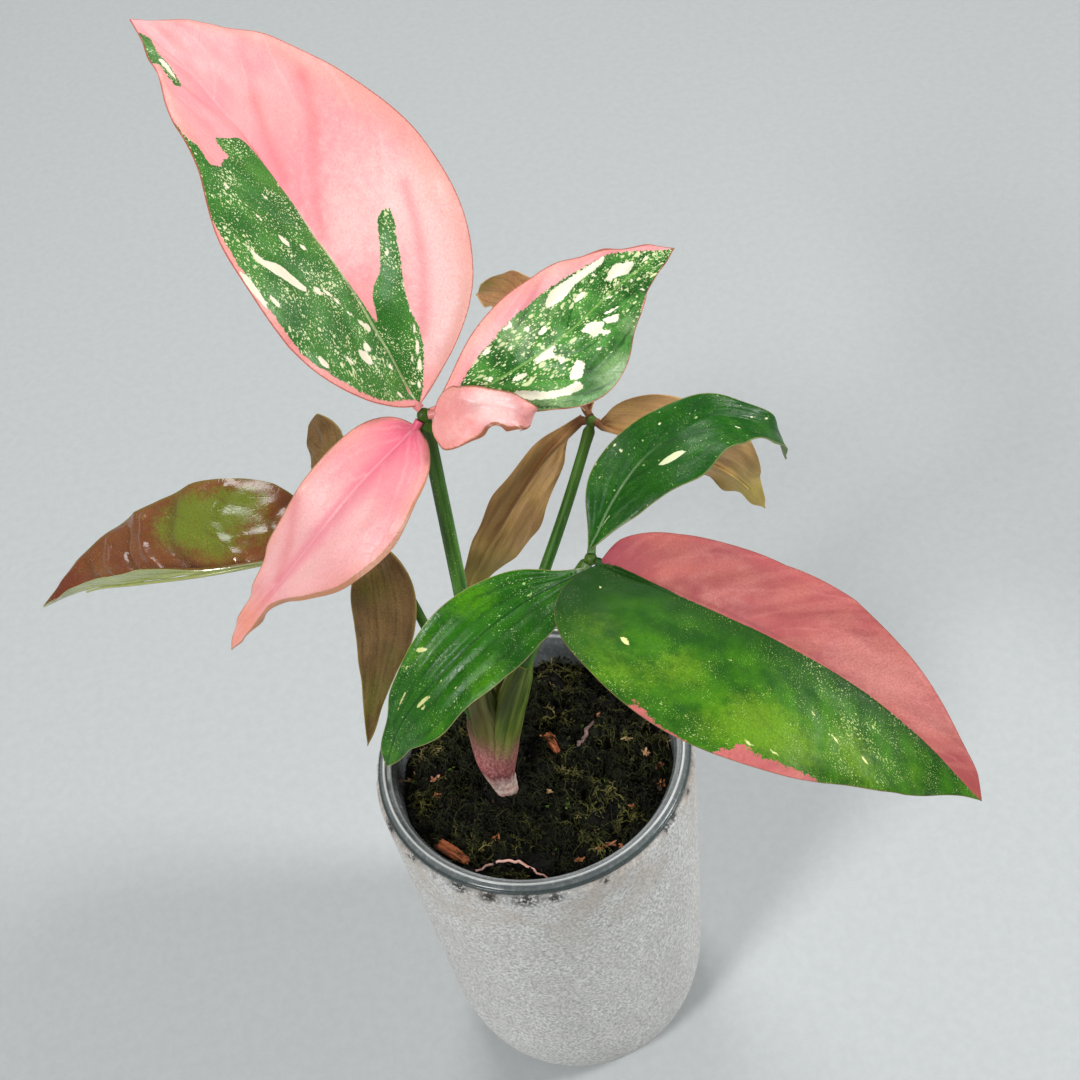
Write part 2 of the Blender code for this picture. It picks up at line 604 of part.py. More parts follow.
def main():
    clear_scene()
    parts = new_collection("potted_syngonium")
    cutters = new_collection("cutters")
    finishes = {name: make_finish(name) for name in PLAIN}
    outer_pot(parts, finishes)
    nursery_pot(parts, cutters, finishes)
    soil = substrate(parts, cutters, finishes)
    crown(parts, cutters, finishes)
    for letter in STALKS:
        shade(stalk_piece(letter, parts, finishes))
    for name in BLADES:
        blade_piece(name, parts, finishes)
    soil_top = soil_finder(soil)
    laid_strand("exposed_root", EXPOSED_ROOT, ROOT_RADIUS, soil_top, parts, finishes["pale_root"])
    laid_strand("twig", TWIG, TWIG_RADIUS, soil_top, parts, finishes["bark"])
    for name in CHIPS:
        bark_chip(name, soil_top, parts, finishes["bark"])


if __name__ == "__main__":
    main()
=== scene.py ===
"""The looks of the potted syngonium: its blades with their markings and veins, stalks, moss and pots.

Shapes are worked out in millimetres and turned into metres by MM. A place on a blade is given as
(across, along): across runs from -1 at the right edge over 0 at the midrib to 1 at the left edge, and
along from 0 at the base to 1 at the tip.
"""

import bpy
import numpy as np
from mathutils import Matrix, Vector


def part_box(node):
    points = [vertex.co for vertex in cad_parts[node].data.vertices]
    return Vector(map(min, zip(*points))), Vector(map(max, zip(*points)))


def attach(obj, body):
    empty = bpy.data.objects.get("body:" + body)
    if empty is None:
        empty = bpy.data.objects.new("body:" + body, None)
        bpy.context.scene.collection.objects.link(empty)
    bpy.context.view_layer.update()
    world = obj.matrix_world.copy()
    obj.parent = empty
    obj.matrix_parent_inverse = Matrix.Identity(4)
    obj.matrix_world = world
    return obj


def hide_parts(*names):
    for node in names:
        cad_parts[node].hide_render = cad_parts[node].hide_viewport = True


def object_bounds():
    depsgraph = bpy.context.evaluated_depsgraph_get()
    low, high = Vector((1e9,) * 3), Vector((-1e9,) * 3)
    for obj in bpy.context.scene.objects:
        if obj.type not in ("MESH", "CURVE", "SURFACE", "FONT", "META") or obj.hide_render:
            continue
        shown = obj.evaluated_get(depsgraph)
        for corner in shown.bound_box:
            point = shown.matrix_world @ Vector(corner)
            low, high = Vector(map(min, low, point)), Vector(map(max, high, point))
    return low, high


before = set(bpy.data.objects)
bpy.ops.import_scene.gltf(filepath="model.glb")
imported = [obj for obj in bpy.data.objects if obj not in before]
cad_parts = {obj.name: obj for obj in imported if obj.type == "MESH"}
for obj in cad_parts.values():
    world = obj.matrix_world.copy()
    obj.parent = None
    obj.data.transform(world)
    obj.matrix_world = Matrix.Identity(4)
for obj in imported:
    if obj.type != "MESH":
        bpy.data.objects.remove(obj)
cad_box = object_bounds()

MM = 0.001
FINE = 0.8
SEED = 41

# The camera, as the photograph was taken
CAMERA_PLACE = (0.0, -0.2841, 0.5515)
CAMERA_LENS = 56.67
CAMERA_YAW = 2.80
CAMERA_PITCH = 48.63
CAMERA_ROLL = -11.02

# The pots and the moss, as in the solids
STEM_PLACE = (-10.1, -3.4)
STEM_RADIUS = 3.7
STEM_DEPTH = 13.0
SOIL_TOP = 128.0
SOIL_FLOOR = 53.5
SOIL_FLOOR_RADIUS = 34.0
SOIL_TOP_RADIUS = 40.2
RIM_RADIUS = 47.3
RIM_HEIGHT = 135.7
LIP_RADIUS = 45.0
LIP_HEIGHT = 139.0

# Leaf stalks: route from the crown to the knob under the blades, share of it in the sheath, radius,
# and the sheath's radii
STALKS = {
    "a": dict(
        route=((-10.1, -3.4, 116), (-10.5, -3, 145), (-10.2, -1, 178), (-9, 3.5, 208), (-8, 7.5, 240),
               (-7, 10.5, 270)),
        sheath=0.44, radius=2.1, wraps=(3.4, 4.3, 4.4, 3.1)),
    "b": dict(
        route=((-10.1, -3.4, 116), (-8.6, -4.2, 145), (-2, -4.6, 172), (7, -4.6, 194), (17, -5, 212),
               (25.3, -6.5, 224.5)),
        sheath=0.62, radius=1.9, wraps=(3.4, 4.2, 4.2, 2.9)),
    "c": dict(
        route=((-10.1, -3.4, 116), (-8.8, -1.2, 145), (-2, 4, 172), (10, 12, 192), (24, 24.5, 212),
               (35.5, 37.5, 228)),
        sheath=0.46, radius=1.7, wraps=(3.4, 4.0, 3.8, 2.6)),
    "d": dict(
        route=((-10.1, -3.4, 116), (-12.4, -3, 142), (-15, 3.5, 163), (-20, 15.5, 178), (-24, 24, 192),
               (-31, 35, 208)),
        sheath=0.42, radius=1.5, wraps=(3.4, 3.9, 3.4, 2.4)),
}
KNOB_RADIUS = 2.4
SHEATH_START = 15.5

# Blades, as in the solids: midrib, the way the upper face looks at base and tip, fold of each half,
# slant of the side veins, and half widths at the places in ALONG
ALONG = (0.0, 0.08, 0.2, 0.35, 0.5, 0.65, 0.8, 0.92, 1.0)
BLADES = {
    "leaf_a_middle": dict(
        midrib=((-8, 12, 273), (-14.5, 23, 294), (-23, 37, 312.5), (-33, 56, 326), (-43, 78, 333),
                (-55, 100, 336)),
        facing=((0.45, -0.5, 0.8), (0.35, -0.5, 0.8)),
        fold_left=(12, 18, 8), fold_right=(12, 18, 8), slant=(-60, 35),
        left=(0.8, 10, 22, 26, 19.5, 14, 8, 3, 0), right=(0.8, 11, 28, 35, 30.5, 24, 14.5, 6.5, 0)),
    "leaf_a_right": dict(
        midrib=((-3.7, 11, 270.3), (13, 13.5, 273.5), (29.5, 23, 273), (42, 37, 269), (53.5, 51, 264),
                (67, 64, 258)),
        facing=((0.1, -0.45, 1), (0.25, -0.35, 1)),
        fold_left=(15, 10, 6), fold_right=(-24, -8, 6), slant=(-50, 35),
        left=(0.8, 5.5, 13, 17, 16, 13, 8.5, 4, 0), right=(0.8, 3, 10, 18, 14, 9.5, 5.5, 2.5, 0)),
    "leaf_a_ear": dict(
        midrib=((-4.3, 8.6, 271.3), (0.5, 4.5, 274.5), (6.5, 2.5, 276), (12, 1.5, 274.5), (15.3, 1.5, 271),
                (17, 2.5, 266.5)),
        facing=((0, -0.8, 1), (0.5, -0.6, 0.7)),
        fold_left=(10, 12, 8), fold_right=(10, 12, 8), slant=(-50, 30),
        left=(0.8, 3, 6, 5.5, 4.5, 4.5, 4.5, 4, 0), right=(0.8, 5, 9, 7.5, 5, 5, 3.5, 2, 0)),
    "leaf_a_left": dict(
        midrib=((-10.1, 8.6, 268.4), (-23.5, -1, 266), (-37.5, -6.5, 256.5), (-50, -6.5, 243),
                (-60.5, -3, 228.5), (-70, 1, 213)),
        facing=((-0.1, -0.5, 1), (-0.55, -0.75, 0.8)),
        fold_left=(5, 8, 5), fold_right=(5, 8, 5), slant=(-60, 35),
        left=(0.8, 8.5, 15, 16, 9.5, 3.5, 2.5, 1.5, 0), right=(0.8, 8.5, 11, 10.5, 9, 6, 4, 2.5, 0)),
    "leaf_b_middle": dict(
        midrib=((27.5, -9.5, 225), (41.5, -24.5, 226.5), (60, -40.5, 223.5), (78, -54, 213.5),
                (93.5, -66, 198), (106, -73, 178)),
        facing=((-0.1, -0.55, 0.9), (0.25, -0.7, 0.8)),
        fold_left=(15, 15, 6), fold_right=(22, 15, 6), slant=(-65, 35),
        left=(0.8, 9.5, 16.5, 20, 17.5, 14, 8.5, 5, 0), right=(0.8, 20, 30, 34, 29, 21.5, 12, 4, 0)),
    "leaf_b_left": dict(
        midrib=((22.7, -9.2, 223.8), (8, -9.5, 218.5), (-8, -15.5, 214.5), (-22, -20, 206),
                (-32.5, -20.5, 192.5), (-39, -21.5, 178)),
        facing=((-0.1, -0.4, 1), (-0.5, -0.7, 0.7)),
        fold_left=(10, 10, 8), fold_right=(10, 10, 8), slant=(-25, 35),
        left=(0.8, 4, 9, 13.5, 13.5, 12, 7, 3.5, 0), right=(0.8, 3, 9, 12.5, 11.5, 8.5, 4.5, 3, 0)),
    "leaf_b_upper": dict(
        midrib=((25.8, -5.5, 228), (34, 1.5, 235.5), (46, 8, 243), (63, 11.5, 246), (77.5, 11, 238),
                (82.5, 14, 222)),
        facing=((-0.2, -0.3, 1), (0.3, -0.2, 1)),
        fold_left=(16, 14, 10), fold_right=(16, 14, 10), slant=(-50, 35),
        left=(0.8, 3.5, 8.5, 8.5, 7.5, 5.5, 4, 2.5, 0), right=(0.8, 4, 9, 15.5, 14, 8, 4, 2, 0)),
    "leaf_c_left": dict(
        midrib=((33.5, 40.9, 227.4), (22, 40.5, 217.5), (11.5, 39.5, 204), (3.5, 41, 189), (-3, 45, 174),
                (-9, 48, 158)),
        facing=((-0.1, 1, 0), (-0.1, 1, -0.1)),
        fold_left=(5, 5), fold_right=(5, 5), slant=(-15, 30),
        left=(0.8, 2.5, 5, 6.5, 6.5, 5.5, 4, 2, 0), right=(0.8, 2, 8, 12, 14, 13, 9, 4, 0)),
    "leaf_c_right": dict(
        midrib=((38.1, 35.7, 228.7), (47, 27, 231), (56, 20, 228), (66, 20.5, 218.5), (73, 23, 207),
                (78.5, 23.5, 194)),
        facing=((0.1, 1, 0.1), (0.4, 1, -0.1)),
        fold_left=(5, 5), fold_right=(5, 5), slant=(-30, 30),
        left=(0.8, 1.5, 2.5, 4.5, 7, 7.5, 5, 3, 0), right=(0.8, 5, 13.5, 15.5, 12, 8, 4, 2, 0)),
    "leaf_c_back": dict(
        midrib=((35.3, 40.7, 229.1), (34.5, 52, 236.5), (31, 67, 238), (27.5, 82, 235), (22.5, 95.5, 230),
                (16.5, 108, 224)),
        facing=((0, -0.2, 1), (-0.2, -0.2, 1)),
        fold_left=(18, 20, 14), fold_right=(18, 20, 14), slant=(-40, 35),
        left=(0.8, 4, 9, 11.5, 12, 11, 8.5, 4.5, 0), right=(0.8, 4, 6, 7.5, 8, 7.5, 7, 4, 0)),
    "leaf_d_left": dict(
        midrib=((-34.3, 35, 208.8), (-54, 30.5, 213), (-76, 33, 211), (-95.5, 42, 203.5),
                (-112.5, 53, 193.5), (-130.5, 60, 182)),
        facing=((0, 0, 1), (0, -0.1, 1)),
        fold_left=(30, 62, 40), fold_right=(10, 15, 10), slant=(-40, 30),
        left=(0.8, 5, 9, 11, 10, 9, 6.5, 3.5, 0), right=(0.8, 10, 22.5, 27.5, 25.5, 22, 14, 5, 0)),
    "leaf_d_front": dict(
        midrib=((-31.2, 31.8, 209), (-29.5, 23, 206), (-31, 16.5, 190.5), (-36.5, 15, 173),
                (-42.5, 12, 157), (-46.5, 9, 147)),
        facing=((-0.2, -0.75, 0.6), (-0.1, -1, 0.1)),
        fold_left=(5, 5), fold_right=(5, 5), slant=(-30, 30),
        left=(0.8, 4, 8, 8, 6, 4, 2.5, 1.5, 0), right=(0.8, 5, 9, 9.5, 8, 5.5, 3.5, 1.5, 0)),
    "leaf_d_back": dict(
        midrib=((-31.3, 38.2, 208.9), (-33, 46, 213), (-35, 56, 212), (-37.5, 66, 209), (-40, 76, 206.5),
                (-43, 86, 204)),
        facing=((-0.2, -0.3, 1), (-0.3, -0.8, 0.5)),
        fold_left=(8, 8), fold_right=(8, 8), slant=(-40, 20),
        left=(0.8, 3, 5, 6.5, 7, 6.5, 5.5, 3.5, 0), right=(0.8, 4, 6, 7.5, 8, 8, 7.5, 5, 0)),
}

# Relief of each blade: number of side veins, how far they run forward, depth of their furrows (mm),
# height (mm) and count of the waves along its edges, and height (mm) of its uneven bumps
RELIEF = {
    "leaf_a_middle": dict(veins=7, forward=0.26, furrow=0.12, waves=(0.6, 5), crumple=0.45),
    "leaf_a_right": dict(veins=6, forward=0.45, furrow=0.45, waves=(0.8, 5), crumple=0.35),
    "leaf_a_ear": dict(veins=5, forward=0.20, furrow=0.15, waves=(1.2, 4), crumple=0.5),
    "leaf_a_left": dict(veins=5, forward=0.50, furrow=0.08, waves=(0.7, 6), crumple=0.4),
    "leaf_b_middle": dict(veins=7, forward=0.22, furrow=0.12, waves=(0.9, 4), crumple=0.35),
    "leaf_b_left": dict(parallel=3.0, furrow=0.42, waves=(0.5, 4), crumple=0.18),
    "leaf_b_upper": dict(veins=5, forward=0.70, furrow=0.14, waves=(0.6, 5), crumple=0.4),
    "leaf_c_left": dict(parallel=2.6, furrow=0.18, waves=(0.6, 4), crumple=0.5),
    "leaf_c_right": dict(parallel=2.6, furrow=0.2, waves=(0.9, 4), crumple=0.6),
    "leaf_c_back": dict(veins=6, forward=0.35, furrow=0.25, waves=(0.8, 4), crumple=0.4),
    "leaf_d_left": dict(veins=7, forward=0.25, furrow=0.2, waves=(0.2, 5), crumple=0.7),
    "leaf_d_front": dict(parallel=2.4, furrow=0.18, waves=(0.6, 3), crumple=0.4),
    "leaf_d_back": dict(veins=5, forward=0.35, furrow=0.25, waves=(0.6, 3), crumple=0.4),
}

# Where a blade's third tone lies, as soft spots: (across, along, size in mm, strength)
TONES = {
    "leaf_a_middle": (
        (-0.4, 0.4, 18, 0.4), (-0.75, 0.3, 10, 0.7), (-0.85, 0.18, 9, 0.9), (-0.6, 0.12, 8, 0.6), (-0.15, 0.32, 9, 0.45),
        (0.3, 0.85, 9, 0.15),
    ),
    "leaf_a_left": ((-0.65, 0.35, 12, 0.9), (0.45, 0.3, 8, 0.7), (-0.4, 0.55, 10, 0.8), (0.5, 0.5, 7, 0.6), (0.0, 0.78, 8, 0.5)),
    "leaf_a_right": ((0.85, 0.5, 10, 0.6), (0.9, 0.2, 8, 0.6), (0.85, 0.8, 8, 0.4)),
    "leaf_a_ear": ((0.5, 0.5, 5, 0.8), (-0.3, 0.6, 5, 0.7), (-0.5, 0.25, 5, 0.3)),
    "leaf_b_middle": (
        (-0.7, 0.14, 6, 0.5), (-0.51, 0.28, 5, 0.65), (-0.75, 0.24, 5, 0.3), (-0.64, 0.41, 6, 0.8),
        (-0.76, 0.47, 7, 0.7), (-0.81, 0.36, 6, 0.5), (-0.86, 0.62, 8, 0.4), (-0.6, 0.58, 6, 0.5),
        (-0.7, 0.76, 7, 0.3), (-0.9, 0.2, 5, 0.4),
    ),
    "leaf_b_left": ((0.8, 0.4, 6, 0.7), (0.85, 0.6, 5, 0.5), (-0.75, 0.3, 6, 0.8), (-0.8, 0.5, 6, 0.6), (0.3, 0.92, 5, 0.7)),
    "leaf_b_upper": ((-0.6, 0.5, 6, 0.4), (0.5, 0.3, 5, 0.3)),
    "leaf_c_left": ((0.0, 0.75, 12, 0.9), (-0.5, 0.5, 8, 0.4)),
    "leaf_c_right": ((-0.5, 0.3, 7, 0.6),),
    "leaf_d_left": (
        (-0.62, 0.32, 7, 0.8), (-0.72, 0.25, 6, 0.6), (-0.47, 0.41, 8, 0.8), (-0.59, 0.5, 6, 0.5), (-0.2, 0.33, 6, 0.6),
        (-0.8, 0.42, 7, 0.5), (-0.3, 0.22, 6, 0.4),
    ),
    "leaf_d_front": ((0.2, 0.75, 12, 0.8), (-0.3, 0.2, 7, 0.6), (0.8, 0.5, 6, 0.5)),
    "leaf_d_back": ((0.0, 0.5, 8, 0.8),),
}

# Where the second colour of a blade has its own second tone, a lighter one; on leaf A middle's second patch this is
# partly painted sheen
MARK_TONES = {
    "leaf_a_middle": (
        # Leaf A middle: the three small spots in the second patch are painted sheen, a lighter grey-green for its satin
        # gloss.
        (-0.3, 0.25, 3, 0.9), (-0.2, 0.22, 2.5, 0.6), (-0.38, 0.29, 2.5, 0.6), (0.45, 0.3, 8, 0.35), (0.6, 0.48, 8, 0.3),
    ),
    "leaf_a_right": (
        (-0.95, 0.25, 5, 1.0), (-0.95, 0.4, 6, 1.0), (-0.95, 0.55, 5, 0.8), (0.45, 0.28, 5, 0.9), (0.5, 0.4, 4, 0.6),
        (-0.8, 0.12, 3, 0.6),
    ),
    "leaf_b_middle": ((0.45, 0.62, 12, 0.75), (0.35, 0.5, 8, 0.4), (0.6, 0.76, 7, 0.5), (0.2, 0.3, 6, 0.3)),
}

# Where a blade has more (or, below zero, fewer) specks, as soft spots
CROWDS = {
    "leaf_a_middle": ((-0.72, 0.14, 5, 0.7), (0.7, 0.1, 8, 0.2), (0.2, 0.5, 9, -0.35), (-0.2, 0.2, 5, -0.4)),
    "leaf_a_right": (
        (-0.9, 0.35, 7, -1.6), (-0.95, 0.5, 6, -1.2), (-0.85, 0.2, 6, -0.7), (0.6, 0.3, 6, -0.4), (-0.3, 0.3, 6, 0.4),
    ),
    "leaf_b_middle": (
        (-0.32, 0.58, 8, 0.5), (-0.5, 0.64, 8, 0.45), (-0.25, 0.12, 12, -0.7), (-0.15, 0.35, 9, -0.5), (-0.9, 0.6, 6, 0.4),
        (-0.55, 0.2, 11, -0.45), (-0.75, 0.38, 8, -0.3),
    ),
    "leaf_b_left": ((0.3, 0.15, 6, 0.6), (-0.7, 0.55, 5, 0.7), (0.0, 0.4, 8, -0.5)),
}

# Long folds in a blade: their line, height in mm (below zero for a furrow) and width in mm. Along a furrow the blade's
# colour is also darkened as painted shade.
CREASES = {
    "leaf_a_middle": (
        (((-0.74, 0.56), (-0.52, 0.5), (-0.27, 0.45), (-0.05, 0.36)), -0.9, 2.2),
        (((-0.8, 0.42), (-0.62, 0.37), (-0.42, 0.31), (-0.12, 0.2)), 0.7, 1.8),
        (((-0.7, 0.33), (-0.6, 0.25), (-0.49, 0.14)), -0.5, 1.5), (((-0.86, 0.3), (-0.84, 0.2), (-0.75, 0.12)), 0.6, 1.4),
        (((-0.3, 0.62), (-0.15, 0.55), (-0.05, 0.48)), -0.6, 1.6), (((0.5, 0.7), (0.2, 0.6), (0.03, 0.5)), 0.3, 1.6),
        (((0.95, 0.25), (0.5, 0.1), (0.1, 0.02)), -0.5, 1.6),
    ),
    "leaf_a_right": (
        (((-1.0, 0.25), (-0.6, 0.33), (-0.55, 0.5), (-0.8, 0.68)), 0.9, 1.6),
        (((0.0, 0.1), (-0.35, 0.3), (-0.4, 0.5)), -0.5, 1.4), (((0.1, 0.12), (0.5, 0.35), (0.5, 0.6)), -0.5, 1.3),
    ),
    "leaf_a_left": (
        (((0.9, 0.2), (0.5, 0.3), (0.25, 0.5)), 0.35, 1.4), (((-0.9, 0.35), (-0.5, 0.45), (-0.15, 0.6)), -0.3, 1.4),
    ),
    "leaf_a_ear": ((((-0.8, 0.3), (-0.3, 0.5), (0.0, 0.8)), 0.9, 1.6), (((0.8, 0.2), (0.3, 0.4), (0.2, 0.7)), 0.8, 1.5)),
    "leaf_b_middle": (
        (((0.9, 0.35), (0.45, 0.25), (0.05, 0.12)), 0.4, 1.8), (((0.9, 0.5), (0.4, 0.42), (0.05, 0.3)), -0.3, 1.6),
    ),
    "leaf_d_left": (
        (((-0.9, 0.3), (-0.5, 0.35), (-0.05, 0.3)), 1.1, 1.7), (((-0.85, 0.46), (-0.4, 0.48), (-0.05, 0.42)), -0.9, 1.8),
        (((-0.85, 0.56), (-0.4, 0.57), (-0.05, 0.52)), 1.2, 1.2), (((-0.8, 0.64), (-0.4, 0.65), (-0.05, 0.6)), -1.1, 1.1),
        (((-0.8, 0.72), (-0.3, 0.72), (-0.05, 0.67)), 1.1, 1.1), (((-0.8, 0.8), (-0.3, 0.79), (-0.05, 0.75)), -0.6, 1.2),
        (((-0.9, 0.15), (-0.5, 0.2), (-0.05, 0.17)), -0.7, 1.6), (((-0.3, 0.2), (-0.25, 0.45), (-0.15, 0.8)), 0.5, 1.2),
    ),
}

# Blades made narrower or wider on their left half than the solid, at shares of their length
TRIMS = {
    "leaf_b_middle": ((0, 0.08, 0.18, 0.35, 0.46, 0.56, 0.8, 1), (1, 1.06, 0.94, 0.86, 0.99, 0.97, 0.97, 1)),
    "leaf_b_left": ((0, 0.05, 0.12, 0.22, 0.35, 1), (1, 1.9, 1.6, 1.25, 1, 1)),
}

# A wide brown band along one edge: side (-1 right, 1 left), start and end along, width in mm
EDGE_BANDS = {
    "leaf_a_left": (1, 0.12, 0.9, 0.8),
    "leaf_a_ear": (-1, 0.3, 1.0, 0.5),
    "leaf_a_right": (1, 0.55, 1.0, 0.3),
}

# Outlines of the second colour on a blade, as (across, along) places
PATCHES = {
    "leaf_a_middle": (
        ((-0.1, -0.02), (0.6, 0.03), (0.9, 0.08), (0.93, 0.13), (0.92, 0.18), (0.95, 0.22), (0.93, 0.27),
         (0.95, 0.32), (0.95, 0.37), (0.98, 0.42), (1.1, 0.47), (1.1, 0.6), (0.99, 0.6), (0.98, 0.56),
         (0.85, 0.54), (0.83, 0.51), (0.69, 0.505), (0.59, 0.52), (0.47, 0.53), (0.53, 0.55), (0.53, 0.575),
         (0.3, 0.58), (0.1, 0.58), (0.0, 0.55), (0.0, 0.3), (-0.03, 0.17), (-0.06, 0.1)),
        ((0.05, 0.0), (-0.8, -0.02), (-0.6, 0.08), (-0.49, 0.14), (-0.37, 0.18), (-0.38, 0.22), (-0.45, 0.27),
         (-0.54, 0.32), (-0.46, 0.325), (-0.41, 0.32), (-0.34, 0.29), (-0.24, 0.25), (-0.17, 0.24),
         (-0.1, 0.22), (-0.06, 0.18), (0.0, 0.15)),
        ((0.95, 0.94), (0.46, 0.93), (0.2, 0.92), (0.4, 0.89), (0.58, 0.85), (0.54, 0.81), (0.54, 0.77),
         (0.57, 0.71), (0.71, 0.71), (0.8, 0.74), (0.86, 0.79), (1.1, 0.8), (1.1, 0.9)),
    ),
    "leaf_a_right": (
        ((0.35, 0.05), (0.55, 0.11), (0.64, 0.17), (0.62, 0.22), (0.67, 0.28), (0.66, 0.35), (0.7, 0.4),
         (0.72, 0.5), (0.76, 0.6), (0.8, 0.7), (0.84, 0.78), (0.66, 0.87), (0.5, 0.95), (0.3, 1.02),
         (-1.2, 1.0), (-1.2, 0.72), (-0.93, 0.69), (-0.93, 0.62), (-1.2, 0.6), (-1.2, -0.05), (0.0, -0.05)),
    ),
    "leaf_b_middle": (
        ((1.3, -0.05), (0.4, 0.02), (0.12, 0.08), (0.02, 0.16), (0.0, 0.3), (0.0, 0.5), (0.02, 0.65),
         (0.02, 0.8), (-0.1, 0.93), (-0.3, 1.02), (1.3, 1.02)),
        ((-0.93, 0.25), (-0.945, 0.265), (-0.965, 0.28), (-0.975, 0.31), (-1.0, 0.33), (-1.2, 0.33), (-1.2, 0.24)),
        ((-0.97, 0.36), (-0.93, 0.375), (-0.845, 0.395), (-0.91, 0.415), (-0.92, 0.44), (-0.945, 0.46), (-0.96, 0.49),
         (-1.0, 0.52), (-1.2, 0.54), (-1.2, 0.34)),
    ),
}

# Cream marks on a blade, as outlines
CREAM_MARKS = {
    "leaf_a_middle": (
        ((0.77, 0.385), (0.73, 0.365), (0.68, 0.35), (0.55, 0.34), (0.48, 0.31), (0.43, 0.285), (0.52, 0.295),
         (0.6, 0.315), (0.69, 0.335), (0.77, 0.355)),
        ((0.99, 0.35), (0.93, 0.34), (0.92, 0.31), (0.95, 0.295), (0.97, 0.31), (1.0, 0.33)),
        ((0.74, 0.82), (0.61, 0.82), (0.58, 0.79), (0.58, 0.74), (0.66, 0.745), (0.73, 0.78)),
        ((-0.32, 0.27), (-0.38, 0.28), (-0.36, 0.265)),
    ),
    "leaf_a_right": (
        ((0.49, 0.39), (0.64, 0.42), (0.68, 0.49), (0.7, 0.56), (0.76, 0.64), (0.8, 0.7), (0.66, 0.68),
         (0.58, 0.6), (0.56, 0.55), (0.49, 0.5), (0.44, 0.45)),
        ((0.26, 0.65), (0.45, 0.69), (0.54, 0.74), (0.35, 0.81), (0.15, 0.79), (0.09, 0.75), (0.21, 0.7)),
        ((0.33, 0.49), (0.39, 0.56), (0.29, 0.55), (0.27, 0.51)),
        ((0.26, 0.33), (0.31, 0.37), (0.2, 0.36), (0.2, 0.34)),
        ((-0.05, 0.27), (0.01, 0.33), (-0.01, 0.4), (-0.06, 0.34), (-0.16, 0.34), (-0.11, 0.28)),
        ((-0.12, 0.44), (-0.12, 0.49), (-0.27, 0.51), (-0.4, 0.5), (-0.37, 0.45), (-0.26, 0.45)),
        ((-0.26, 0.52), (-0.51, 0.57), (-0.57, 0.53), (-0.36, 0.51)),
        ((-0.2, 0.55), (-0.42, 0.62), (-0.35, 0.56)),
        ((-0.38, 0.48), (-0.53, 0.5), (-0.51, 0.465)),
        ((-0.43, 0.2), (-0.48, 0.22), (-0.62, 0.26), (-0.64, 0.29), (-0.64, 0.33), (-0.76, 0.33),
         (-0.78, 0.28), (-0.74, 0.23), (-0.64, 0.2)),
        ((-0.19, 0.2), (-0.11, 0.22), (-0.17, 0.25), (-0.26, 0.23)),
        ((-0.36, 0.365), (-0.46, 0.375), (-0.62, 0.335), (-0.6, 0.315), (-0.46, 0.33)),
        ((-0.16, 0.33), (-0.25, 0.36), (-0.31, 0.33)),
        ((0.6, 0.18), (0.62, 0.21), (0.48, 0.2)),
        ((0.63, 0.25), (0.66, 0.29), (0.55, 0.28)),
    ),
    "leaf_b_left": (
        ((0.1, 0.68), (0.08, 0.65), (0.14, 0.61), (0.2, 0.6), (0.19, 0.64), (0.16, 0.68)),
        ((0.26, 0.67), (0.23, 0.65), (0.28, 0.63), (0.29, 0.65)),
        ((-0.5, 0.74), (-0.53, 0.69), (-0.52, 0.64), (-0.47, 0.66), (-0.45, 0.71)),
        ((-0.86, 0.49), (-0.65, 0.48), (-0.62, 0.49), (-0.79, 0.505)),
        ((0.45, 0.62), (0.51, 0.635), (0.45, 0.64)),
    ),
    "leaf_b_upper": (
        ((-0.34, 0.32), (-0.31, 0.36), (-0.36, 0.4), (-0.47, 0.42), (-0.48, 0.39), (-0.45, 0.345)),
        ((-0.08, 0.07), (-0.28, 0.13), (-0.2, 0.08)),
    ),
}

